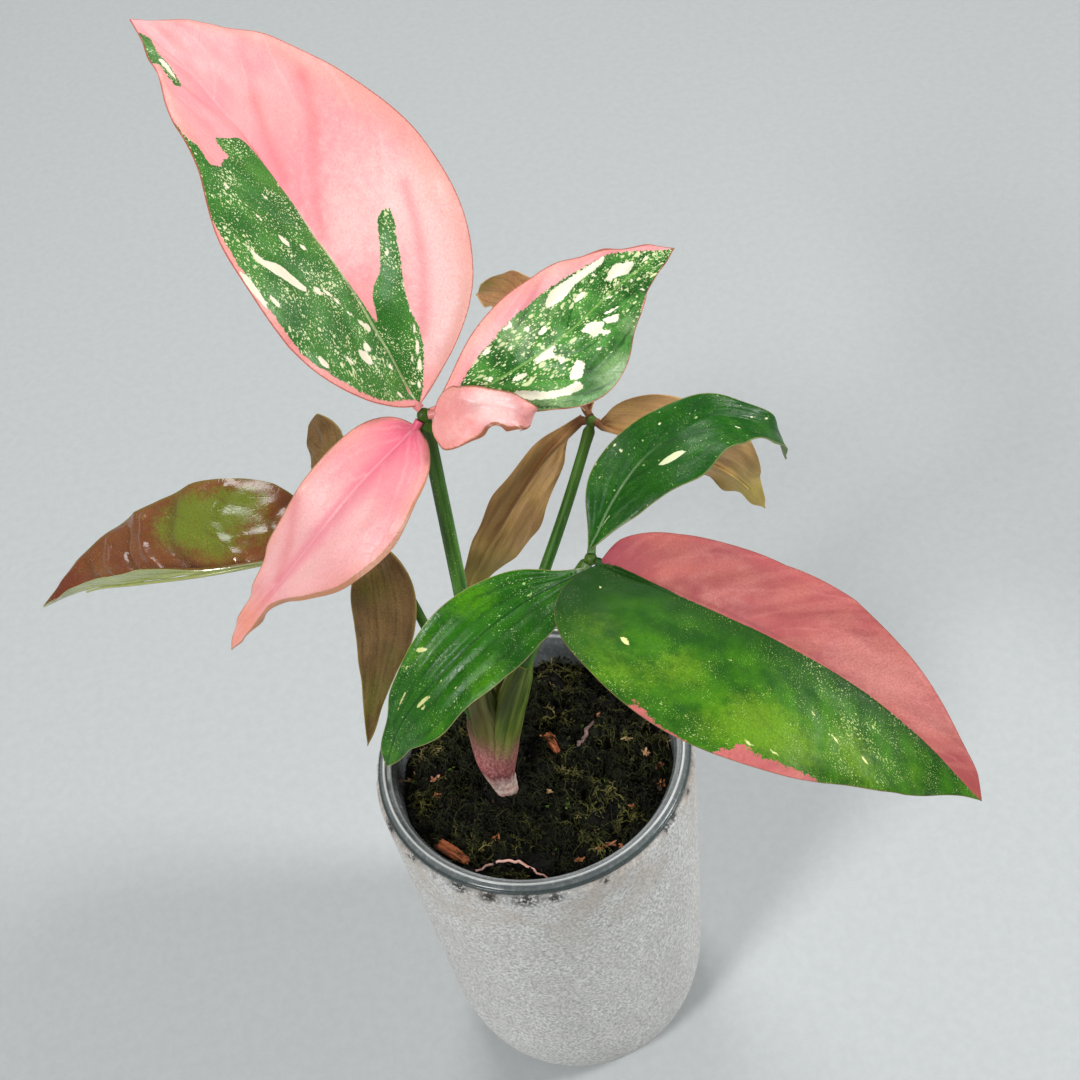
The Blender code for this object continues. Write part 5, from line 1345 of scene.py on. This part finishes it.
def flake_points(place, size, turn, lean, height, random):
    """An uneven flat flake of eight corners and its faces, lying on the substrate."""
    long, wide, thick = size
    outline = np.array(((-0.5, -0.3), (-0.15, -0.5), (0.3, -0.42), (0.5, -0.1), (0.42, 0.32), (0.05, 0.5),
                        (-0.35, 0.4), (-0.52, 0.05)))
    outline = outline * random.uniform(0.75, 1.15, (8, 1)) * (long, wide)
    bend = random.uniform(-0.25, 0.25) * np.abs(outline[:, 0])
    low = np.column_stack((outline, bend + outline[:, 0] * np.tan(lean)))
    both = np.vstack((low, low + (0.0, 0.0, thick)))
    spin = np.array(((np.cos(turn), -np.sin(turn)), (np.sin(turn), np.cos(turn))))
    both[:, :2] = both[:, :2] @ spin.T + place
    both[:, 2] += height
    sides = [(i, (i + 1) % 8, 8 + (i + 1) % 8, 8 + i) for i in range(8)]
    return both, [tuple(range(7, -1, -1)), tuple(range(8, 16))] + sides


def litter_pieces(finish):
    """Crumbs, straw and flakes strewn over the moss, mostly dark with a few pale or orange ones."""
    random = np.random.default_rng(SEED + 1)
    shape = Shape()
    for place in scattered(520, random, 2.0):
        size = random.uniform(0.5, 1.8) * np.array((1.0, random.uniform(0.35, 0.9), random.uniform(0.15, 0.5)))
        points, faces = flake_points(place, size, random.uniform(0, 6.28), random.uniform(-0.6, 0.6),
                                     soil_height(*place) + random.uniform(0, 0.4), random)
        shape.add(points, faces, tone=0.62 * random.uniform(0, 1)**1.5, place=points)
    for x, y, long, wide, turn, tone in BITS:
        for _ in range(7):
            shift = random.normal(0, 0.3, 2) * (long, wide)
            size = random.uniform(0.35, 0.85) * np.array((long, wide, 0.4))
            points, faces = flake_points((x + shift[0], y + shift[1]), size, np.radians(turn + random.normal(0, 35)),
                                         random.uniform(-0.7, 0.7), soil_height(x, y) + random.uniform(1.0, 2.4), random)
            shape.add(points, faces, tone=tone + random.uniform(-0.05, 0.03), place=points)
    return shape.piece("litter", finish, (), angle=30.0)


# Bits that stand out on the moss: place, length, width, turn, and tone from dark over orange to straw
BITS = (
    (5.3, 7.7, 3.0, 2.2, 20, 0.80), (-30.3, 4.5, 2.2, 1.4, 60, 0.86), (-29.8, -2.4, 2.0, 1.2, 10, 0.76),
    (-39.0, 8.0, 6.0, 1.0, 80, 0.96), (-24.9, 7.4, 2.0, 0.9, 35, 0.55), (6.5, -16.1, 2.4, 1.0, 75, 0.55),
    (28.3, 1.8, 2.8, 0.8, -50, 0.97), (32.5, -3.8, 3.0, 0.9, -75, 0.92), (35.5, -9.0, 3.4, 0.9, -100, 0.8),
    (34.5, -15.0, 2.4, 0.9, -120, 0.78), (13.6, -31.2, 4.0, 0.8, -20, 0.82), (18.3, -32.4, 2.2, 0.8, 30, 0.8),
    (5.4, -33.9, 2.6, 0.9, -10, 0.78), (-6.0, 22.0, 2.4, 0.9, 45, 0.82), (22.0, 14.0, 2.6, 0.8, 100, 0.9),
    (-16.0, -20.0, 1.8, 0.8, 60, 0.8), (24.0, -20.0, 2.2, 0.8, 15, 0.84), (2.0, -8.0, 1.6, 0.7, 120, 0.95),
)

# Small things of their own on the substrate, as in the solids
EXPOSED_ROOT = ((-23.5, -28.5), (-18, -28), (-13, -28), (-9.5, -30.5), (-6, -35), (-3, -36.5))
TWIG = ((13.5, 5), (16.5, 7.5), (19.5, 11.5))
CHIPS = {
    "bark_chip_front": dict(place=(-29, -21.5), size=(12, 4, 1.3), turn=-48),
    "bark_chip_right": dict(place=(6, 6.5), size=(8, 3, 1.2), turn=-71),
}


def laid_strand(name, node, places, radius, finish, rough):
    """A thin root or twig along the substrate, kinked and uneven in thickness."""
    random = np.random.default_rng(len(name))
    flat = smooth_path([(x, y, 0) for x, y in places], np.linspace(0, 1, 60))
    low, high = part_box(node)
    lift = soil_height(flat[:, 0], flat[:, 1])
    lift = np.convolve(np.pad(lift, 8, mode="edge"), np.ones(17) / 17, "valid") + radius + 0.5
    lift = np.clip(lift, low[2] / MM + 0.6 * radius, high[2] / MM - 0.6 * radius)
    kinks = [np.interp(np.arange(60), np.arange(0, 60, 4), random.normal(0, 0.55 * radius, 15)) for _ in (0, 1)]
    points = np.column_stack((flat[:, 0] + kinks[0], flat[:, 1] + kinks[1], lift))
    radii = radius * smooth_read((0, 0.5, 1), (0.8, 1.0, 0.55), np.linspace(0, 1, 60))
    radii = radii * (1 + rough * random.normal(0, 1, 60))
    surface, faces, turns, lengths = tube_surface(points, radii, 14)
    shape = Shape()
    shape.add(surface, faces, tone=ease(0.6, 1.0, lengths / lengths.max()),
              place=np.stack((turns * 4, lengths, np.full(len(turns), 2.0)), 1))
    return shape.piece(name, finish, [node])


def bark_chip(node, finish):
    """A chip of bark: a flat flake in torn layers, narrower at one end."""
    chip = CHIPS[node]
    long, wide, thick = chip["size"]
    rows, columns = 61, 25
    along, across = [axis.ravel() for axis in
                     np.meshgrid(np.linspace(-0.5, 0.5, rows), np.linspace(-0.5, 0.5, columns), indexing="ij")]
    narrow = np.interp(along, (-0.5, 0.0, 0.5), (1.0, 1.0, 0.55))
    ragged = 0.1 * rolling(across * 9, along * 2, 1.0, len(node))
    x = (along * (1 + 0.12 * rolling(across * 12, along * 0, 1.0, 4))) * long * 0.95
    y = (across * (1 + ragged)) * wide * narrow * 0.95
    layers = 0.35 * rolling(y * 2.2, x * 0.35, 1.0, 8) + 0.2 * rolling(y * 5, x * 0.8, 1.0, 9)
    rim = 1 - np.maximum(np.abs(across) * 2, np.abs(along) * 2)**6
    top = thick * (0.1 + 0.4 * rim + layers * 0.35 * rim)
    turn = np.radians(chip["turn"])
    low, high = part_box(node)
    middle = (low[2] + high[2]) / 2 / MM
    flat = np.stack((x * np.cos(turn) - y * np.sin(turn), x * np.sin(turn) + y * np.cos(turn)), 1) + chip["place"]
    upper = np.column_stack((flat, middle + top))
    lower = np.column_stack((flat, middle - thick * (0.1 + 0.38 * rim)))
    place = np.stack((y, x, layers * 3), 1)
    shape = Shape()
    shape.add(upper, grid_faces(rows, columns), tone=0.5, place=place)
    shape.add(lower, grid_faces(rows, columns, flip=True), tone=0.2, place=place)
    add_border(shape, rows, columns)
    return shape.piece(node.replace("chip", "flake"), finish, [node])


def add_border(shape, rows, columns):
    """Join the borders of two grids that were added one after the other, the first with its faces
    turned as grid_faces makes them."""
    total = rows * columns
    ring = list(range(columns - 1))
    ring += [r * columns + columns - 1 for r in range(rows - 1)]
    ring += [(rows - 1) * columns + c for c in range(columns - 1, 0, -1)]
    ring += [r * columns for r in range(rows - 1, 0, -1)]
    for first, second in zip(ring, ring[1:] + ring[:1]):
        shape.faces.append((second, first, first + total, second + total))


def fibrous_finish(name, dark, middle, pale, rough=0.7, width=0.5, stretch=10.0, depth=0.25):
    """Root, twig or bark: long fibres in three colours, with a ridged surface."""
    finish, board, shader = new_finish(name)
    place = board.value("place").outputs["Vector"]
    fibres = board.use(GROUPS["fibres"], {"Place": place, "Width": width, "Stretch": stretch})
    colour = board.mix(board.step(fibres["Streak"], 0.35, 0.6), dark, middle)
    colour = board.mix(board.step(fibres["Fine"], 0.5, 0.75, 0.0, 0.8), colour, pale)
    colour = board.mix(board.math("MULTIPLY", board.value("tone").outputs["Fac"], 0.4), colour, dark)
    board.feed(shader.inputs["Base Color"], colour)
    board.feed(shader.inputs["Roughness"], board.step(fibres["Fine"], 0.3, 0.8, rough - 0.1, rough + 0.15))
    bump(board, shader, fibres["Fine"], depth, 0.8)
    return finish


def toned_finish(name, tones, rough):
    """Many small things in one piece: each has its own tone, with a fine grain over it."""
    finish, board, shader = new_finish(name)
    grain = board.use(GROUPS["grain"], {"Place": board.value("place").outputs["Vector"], "Size": 0.35})
    ramp = board.node("ShaderNodeValToRGB", {"Fac": board.value("tone").outputs["Fac"]})
    elements = ramp.color_ramp.elements
    while len(elements) < len(tones):
        elements.new(0.5)
    for element, (position, colour) in zip(elements, tones):
        element.position = position
        element.color = colour
    colour = board.mix(board.step(grain["Mottle"], 0.35, 0.7, 0.0, 0.5), ramp.outputs["Color"], tint(24, 20, 14))
    board.feed(shader.inputs["Base Color"], colour)
    board.feed(shader.inputs["Roughness"], board.step(grain["Mottle"], 0.3, 0.7, rough, rough + 0.2))
    shader.inputs["Specular IOR Level"].default_value = 0.2
    bump(board, shader, grain["Height"], 0.1, 0.5)
    return finish


def substrate_finish():
    """Moist peat and moss, almost black with olive and brown crumbs."""
    finish, board, shader = new_finish("moist_moss")
    place = board.value("place").outputs["Vector"]
    grain = board.use(GROUPS["grain"], {"Place": place, "Size": 0.9})
    broad = board.noise(place, 0.12, 3.0)
    colour = board.mix(board.step(grain["Mottle"], 0.42, 0.66), tint(6, 6, 5), tint(18, 18, 11))
    colour = board.mix(board.step(broad, 0.5, 0.7, 0.0, 0.5), colour, tint(36, 42, 20))
    colour = board.mix(board.math("MULTIPLY", grain["Grains"], 0.3), colour, tint(84, 66, 40))
    board.feed(shader.inputs["Base Color"], colour)
    board.feed(shader.inputs["Roughness"], board.step(grain["Mottle"], 0.35, 0.7, 0.6, 0.95))
    shader.inputs["Specular IOR Level"].default_value = 0.15
    bump(board, shader, grain["Height"], 0.5, 0.9)
    return finish


def arc(centre, radii, start, end, count):
    turn = np.radians(np.linspace(start, end, count))
    return np.stack((centre[0] + radii[0] * np.cos(turn), centre[1] + radii[1] * np.sin(turn)), 1)


def respaced(profile, spacing):
    """Points along a profile at about the given spacing."""
    profile = np.asarray(profile, float)
    steps = np.linalg.norm(np.diff(profile, axis=0), axis=1)
    length = np.concatenate(([0.0], np.cumsum(steps)))
    places = np.concatenate([np.linspace(a, b, max(1, int((b - a) / spacing)), endpoint=False)
                             for a, b in zip(length, length[1:])] + [length[-1:]])
    return np.stack((np.interp(places, length, profile[:, 0]), np.interp(places, length, profile[:, 1])), 1)


def turned_surface(profile, steps):
    """Points and faces of a round form whose profile starts and ends on the axis."""
    ring = profile[1:-1]
    turn = np.linspace(0, 2 * np.pi, steps, endpoint=False)
    surface = np.stack((ring[:, None, 0] * np.cos(turn), ring[:, None, 0] * np.sin(turn),
                        ring[:, None, 1] * np.ones(steps)), 2).reshape(-1, 3)
    ends = np.array(((0.0, 0.0, profile[0][1]), (0.0, 0.0, profile[-1][1])))
    faces = grid_faces(len(ring), steps, closed=True, flip=True)
    first = len(surface)
    last = (len(ring) - 1) * steps
    faces += [(first, i, (i + 1) % steps) for i in range(steps)]
    faces += [(first + 1, last + (i + 1) % steps, last + i) for i in range(steps)]
    return np.vstack((surface, ends)), faces


# The outer pot's outline, and the chips in its rim: angle in degrees, height, width, depth
FOOT_RADIUS = 33.0
FOOT_HEIGHT = 34.6
SHOULDER_RADIUS = 43.2
RIM_ROUND = 1.5
POT_WALL = 4.3
POT_FLOOR = 6.0
RIM_CHIPS = (
    (-46.3, 135.0, 2.0, 0.7), (-42.0, 135.2, 1.4, 0.6), (-128.0, 134.8, 3.2, 0.6), (-117.0, 134.4, 3.4, 0.5),
    (-104.0, 134.3, 4.6, 0.5), (-94.0, 134.3, 2.6, 0.5), (-76.0, 134.8, 1.6, 0.5), (-150.0, 134.7, 2.2, 0.6),
    (-165.0, 134.9, 2.6, 0.5), (172.0, 134.7, 1.8, 0.5), (-30.0, 134.6, 1.4, 0.5), (20.0, 134.9, 2.0, 0.5),
    (75.0, 134.8, 2.4, 0.6), (120.0, 134.7, 1.8, 0.5),
)


def outer_pot_piece(finish):
    """The plain outer pot, with small chips and scuffs round its rim."""
    inner_rim = RIM_RADIUS - POT_WALL
    inner_shoulder = SHOULDER_RADIUS - POT_WALL
    inside = [(0.0, POT_FLOOR), (FOOT_RADIUS - POT_WALL, POT_FLOOR)]
    inside += list(arc((FOOT_RADIUS - POT_WALL, FOOT_HEIGHT),
                       (inner_shoulder - FOOT_RADIUS + POT_WALL, FOOT_HEIGHT - POT_FLOOR), -60, 0, 8))
    rim = list(arc((inner_rim + RIM_ROUND, RIM_HEIGHT - RIM_ROUND), (RIM_ROUND, RIM_ROUND), 180, 90, 8))
    rim += list(arc((RIM_RADIUS - RIM_ROUND, RIM_HEIGHT - RIM_ROUND), (RIM_ROUND, RIM_ROUND), 90, 0, 8))
    below = (RIM_RADIUS - 0.18, RIM_HEIGHT - 6.0)
    outside = [below] + list(arc((FOOT_RADIUS, FOOT_HEIGHT), (SHOULDER_RADIUS - FOOT_RADIUS, FOOT_HEIGHT), 0, -90, 24))
    profile = np.vstack((respaced(inside, 5.0), respaced(rim, 0.4), respaced([rim[-1], below], 0.6)[1:],
                         respaced(outside, 1.5)[1:], respaced([(FOOT_RADIUS, 0.0), (0.0, 0.0)], 6.0)[1:]))
    surface, faces = turned_surface(profile, 288)
    turn = np.degrees(np.arctan2(surface[:, 1], surface[:, 0]))
    radius = np.hypot(surface[:, 0], surface[:, 1])
    worn = np.zeros(len(surface))
    inward = np.zeros(len(surface))
    for angle, height, wide, depth in RIM_CHIPS:
        aside = np.radians((turn - angle + 180) % 360 - 180) * RIM_RADIUS
        near = np.exp(-((aside / wide)**2 + ((surface[:, 2] - height) / (0.7 * wide))**2)**1.5)
        near = near * (radius > inner_rim + 0.5)
        inward += depth * near
        worn = np.maximum(worn, near)
    direction = unit(np.column_stack((surface[:, :2], 0.6 * (surface[:, 2] - RIM_HEIGHT + 8).clip(0, 99) * 6)))
    surface = surface - direction * inward[:, None]
    shape = Shape()
    shape.add(surface, faces, worn=worn, place=surface, height=surface[:, 2])
    return shape.piece("cast_pot", finish, ["outer_pot"], angle=50.0)


def cast_finish():
    """Pale grey cast surface: fine grain, dark pits, warm stains near the rim, black scuffs on it, and painted shade
    over the top of the rim.
    """
    finish, board, shader = new_finish("cast_grey")
    place = board.value("place").outputs["Vector"]
    height = board.value("height").outputs["Fac"]
    grain = board.use(GROUPS["grain"], {"Place": place, "Size": 0.32})
    coarse = board.use(GROUPS["grain"], {"Place": place, "Size": 1.5})
    sand = board.noise(place, 1.1, 4.0, 0.8)
    colour = board.mix(board.step(sand, 0.38, 0.62), tint(170, 170, 168), tint(242, 241, 238))
    colour = board.mix(board.step(coarse["Mottle"], 0.35, 0.7, 0.0, 0.35), colour, tint(194, 190, 184))
    colour = board.mix(board.math("MULTIPLY", grain["Pits"], 0.5), colour, tint(128, 126, 122))
    colour = board.mix(board.math("MULTIPLY", grain["Grains"], 0.45), colour, tint(236, 236, 234))
    colour = board.mix(board.math("MULTIPLY", coarse["Pits"], 0.5), colour, tint(116, 112, 108))
    warm = board.math("MULTIPLY", board.step(height, 100.0, 134.0), board.step(coarse["Mottle"], 0.4, 0.6, 0.0, 0.4))
    colour = board.mix(warm, colour, tint(190, 172, 156))
    stain = board.math("MULTIPLY", board.step(height, 112.0, 134.0), board.step(sand, 0.58, 0.7))
    colour = board.mix(board.math("MULTIPLY", stain, 0.6), colour, tint(128, 104, 92))
    # Painted shade: a patchy darker grey over the top of the rim, under the nursery pot's overhanging lip.
    rim = board.step(board.math("MULTIPLY_ADD", board.noise(place, 0.5, 3.0), 5.0, height), 136.8, 138.4)
    colour = board.mix(board.math("MULTIPLY", rim, 0.4), colour, tint(120, 116, 110))
    torn = board.step(board.noise(place, 0.9, 3.0, 0.7), 0.42, 0.5)
    scuff = board.math("MULTIPLY", board.value("worn").outputs["Fac"], torn)
    colour = board.mix(board.math("MULTIPLY", scuff, 0.95), colour, tint(30, 32, 32))
    board.feed(shader.inputs["Base Color"], colour)
    board.feed(shader.inputs["Roughness"], board.step(grain["Mottle"], 0.3, 0.7, 0.75, 0.95))
    shader.inputs["Specular IOR Level"].default_value = 0.3
    bump(board, shader, board.math("ADD", grain["Height"], sand), 0.2, 0.8)
    return finish


# The nursery pot's outline
LIP_SKIRT = 46.2
LIP_INSIDE = 41.8
NURSERY_TOP = 42.3
NURSERY_BASE = 35.5
NURSERY_FLOOR = 52.0
NURSERY_WALL = 1.0


def nursery_pot_piece(finish):
    """Thin smoky plastic with a rolled lip and a raised line along it."""
    under_lip = RIM_HEIGHT + 0.3
    top_wall = NURSERY_TOP - 0.1
    profile = [(0.0, NURSERY_FLOOR + NURSERY_WALL), (NURSERY_BASE - NURSERY_WALL, NURSERY_FLOOR + NURSERY_WALL)]
    profile += [(top_wall - NURSERY_WALL, under_lip), (LIP_INSIDE, LIP_HEIGHT - 2.4)]
    profile += list(arc((LIP_INSIDE + 0.7, LIP_HEIGHT - 1.6), (0.5, 0.5), 170, 80, 5))
    profile += [(LIP_RADIUS - 1.5, LIP_HEIGHT - 1.1)]
    profile += list(arc((LIP_RADIUS - 0.8, LIP_HEIGHT - 0.6), (0.6, 0.6), 170, 10, 9))
    profile += [(LIP_RADIUS + 0.3, LIP_HEIGHT - 1.3), (LIP_SKIRT - 0.5, LIP_HEIGHT - 1.5)]
    profile += list(arc((LIP_SKIRT - 0.35, LIP_HEIGHT - 1.95), (0.35, 0.4), 80, 0, 5))
    profile += [(LIP_SKIRT, under_lip + 0.3), (LIP_SKIRT - 0.3, under_lip)]
    profile += [(top_wall + 0.3, under_lip), (NURSERY_TOP - 0.2, under_lip - 1), (NURSERY_BASE, NURSERY_FLOOR)]
    profile += [(0.0, NURSERY_FLOOR)]
    profile = np.vstack([respaced(profile[i:i + 2], 0.4 if 2 < i < len(profile) - 4 else 3.0)[:-1]
                         for i in range(len(profile) - 1)] + [np.array(profile[-1:])])
    surface, faces = turned_surface(profile, 256)
    shape = Shape()
    shape.add(surface, faces, place=surface, height=surface[:, 2], out=np.hypot(surface[:, 0], surface[:, 1]))
    return shape.piece("clear_nursery_pot", finish, ["nursery_pot"], angle=50.0)


def smoky_finish():
    """Thin smoky clear plastic, dusty: painted highlights along the raised line of its lip and along its inner edge,
    and painted shade at its outer edge.
    """
    finish, board, shader = new_finish("smoky_plastic")
    place = board.value("place").outputs["Vector"]
    out = board.value("out").outputs["Fac"]
    dust = board.noise(place, 0.6, 4.0, 0.7)
    colour = board.mix(board.step(dust, 0.4, 0.75, 0.0, 0.6), tint(104, 110, 111), tint(140, 146, 146))
    # Painted highlight: a near-white line along the raised line of the lip.
    line = board.math("ABSOLUTE", board.math("SUBTRACT", out, LIP_RADIUS - 0.8))
    colour = board.mix(board.step(line, 0.55, 0.1, 0.0, 0.9), colour, tint(226, 230, 228))
    # Painted highlight: a paler line along the lip's inner edge.
    inner = board.math("ABSOLUTE", board.math("SUBTRACT", out, LIP_INSIDE + 0.5))
    colour = board.mix(board.step(inner, 0.4, 0.1, 0.0, 0.5), colour, tint(170, 176, 176))
    # Painted shade: the lip's outer edge darkened.
    colour = board.mix(board.step(out, LIP_SKIRT - 0.9, LIP_SKIRT - 0.4, 0.0, 0.85), colour, tint(56, 70, 68))
    board.feed(shader.inputs["Base Color"], colour)
    board.feed(shader.inputs["Roughness"], board.step(dust, 0.35, 0.7, 0.12, 0.3))
    board.feed(shader.inputs["Alpha"], board.step(dust, 0.3, 0.8, 0.8, 0.92))
    shader.inputs["IOR"].default_value = 1.49
    bump(board, shader, dust, 0.1, 0.3)
    return finish


def floor_piece():
    """The plain pale floor, which is no part of the plant."""
    mesh = bpy.data.meshes.new("studio_floor")
    size = 4.0
    mesh.from_pydata([(-size, -size, 0), (size, -size, 0), (size, size, 0), (-size, size, 0)], [], [(0, 1, 2, 3)])
    finish, board, shader = new_finish("studio_paper")
    place = board.node("ShaderNodeTexCoord").outputs["Object"]
    shade = board.noise(place, 260.0, 3.0, 0.7)
    board.feed(shader.inputs["Base Color"], board.mix(board.step(shade, 0.3, 0.7), tint(183, 187, 188), tint(188, 192, 193)))
    shader.inputs["Roughness"].default_value = 0.9
    mesh.materials.append(finish)
    floor = bpy.data.objects.new("studio_floor", mesh)
    bpy.context.scene.collection.objects.link(floor)


def area_light(name, place, target, size, power, colour=(1.0, 1.0, 1.0)):
    light = bpy.data.lights.new(name, "AREA")
    light.shape = "DISK"
    light.size = size
    light.energy = power
    light.color = colour
    lamp = bpy.data.objects.new(name, light)
    lamp.location = place
    lamp.rotation_euler = (Vector(target) - Vector(place)).to_track_quat("-Z", "Y").to_euler()
    bpy.context.scene.collection.objects.link(lamp)


def lights():
    world = bpy.data.worlds.new("pale room")
    world.use_nodes = True
    world.node_tree.nodes["Background"].inputs["Color"].default_value = (0.97, 0.99, 1.0, 1.0)
    world.node_tree.nodes["Background"].inputs["Strength"].default_value = 0.21
    bpy.context.scene.world = world
    area_light("right soft box", (0.95, -0.2, 0.85), (0.0, 0.0, 0.15), 0.28, 9.0)
    area_light("left soft box", (-0.72, -0.66, 1.05), (0.0, 0.0, 0.15), 0.3, 11.2)
    area_light("back soft box", (-0.1, 0.95, 1.25), (0.0, 0.25, 0.0), 0.8, 9.6)


def camera():
    """The camera, turned by yaw, pitch and roll as the photograph was taken."""
    yaw, pitch, roll = [np.radians(angle) for angle in (CAMERA_YAW, CAMERA_PITCH, CAMERA_ROLL)]
    ahead = Vector((np.sin(yaw) * np.cos(pitch), np.cos(yaw) * np.cos(pitch), -np.sin(pitch)))
    level = Vector((np.cos(yaw), -np.sin(yaw), 0.0))
    above = level.cross(ahead)
    right = level * np.cos(roll) + above * np.sin(roll)
    up = above * np.cos(roll) - level * np.sin(roll)
    lens = bpy.data.cameras.new("photo view")
    lens.lens = CAMERA_LENS
    lens.sensor_width = 36.0
    lens.clip_start = 0.01
    eye = bpy.data.objects.new("photo view", lens)
    turned = Matrix((right, up, -ahead)).transposed().to_4x4()
    eye.matrix_world = Matrix.Translation(CAMERA_PLACE) @ turned
    bpy.context.scene.collection.objects.link(eye)
    bpy.context.scene.camera = eye


def main():
    bpy.context.scene.view_settings.view_transform = "Standard"
    finishes = {name: blade_finish(name, look) for name, look in FINISH_LOOKS.items()}
    for name in BLADES:
        blade_piece(name, finishes)
    stalk = stalk_finish("green_stalk")
    for letter in STALKS:
        stalk_piece(letter, stalk)
    crown_piece(crown_finish())
    substrate_piece(substrate_finish())
    moss_strands(toned_finish("moss_tones", (
        (0.0, tint(18, 21, 10)), (0.4, tint(54, 60, 26)), (0.75, tint(128, 124, 64)), (1.0, tint(184, 160, 112))), 0.6))
    litter_pieces(toned_finish("litter_tones", (
        (0.0, tint(20, 16, 12)), (0.5, tint(54, 40, 26)), (0.56, tint(96, 130, 48)), (0.68, tint(96, 60, 34)),
        (0.8, tint(176, 110, 66)), (0.86, tint(204, 138, 110)), (1.0, tint(206, 184, 130))), 0.6))
    pale = fibrous_finish("pale_root_skin", tint(222, 150, 134), tint(240, 190, 176), tint(250, 222, 210), 0.4)
    laid_strand("bare_root", "exposed_root", EXPOSED_ROOT, 0.42, pale, 0.06)
    wood = fibrous_finish("twig_bark", tint(70, 52, 48), tint(124, 100, 94), tint(160, 134, 124), 0.7)
    laid_strand("thin_twig", "twig", TWIG, 0.6, wood, 0.12)
    bark = fibrous_finish("torn_bark", tint(110, 50, 26), tint(196, 104, 58), tint(222, 150, 96), 0.75, 0.6, 8.0, 0.3)
    for node in CHIPS:
        bark_chip(node, bark)
    nursery_pot_piece(smoky_finish())
    outer_pot_piece(cast_finish())
    floor_piece()
    lights()
    camera()


main()
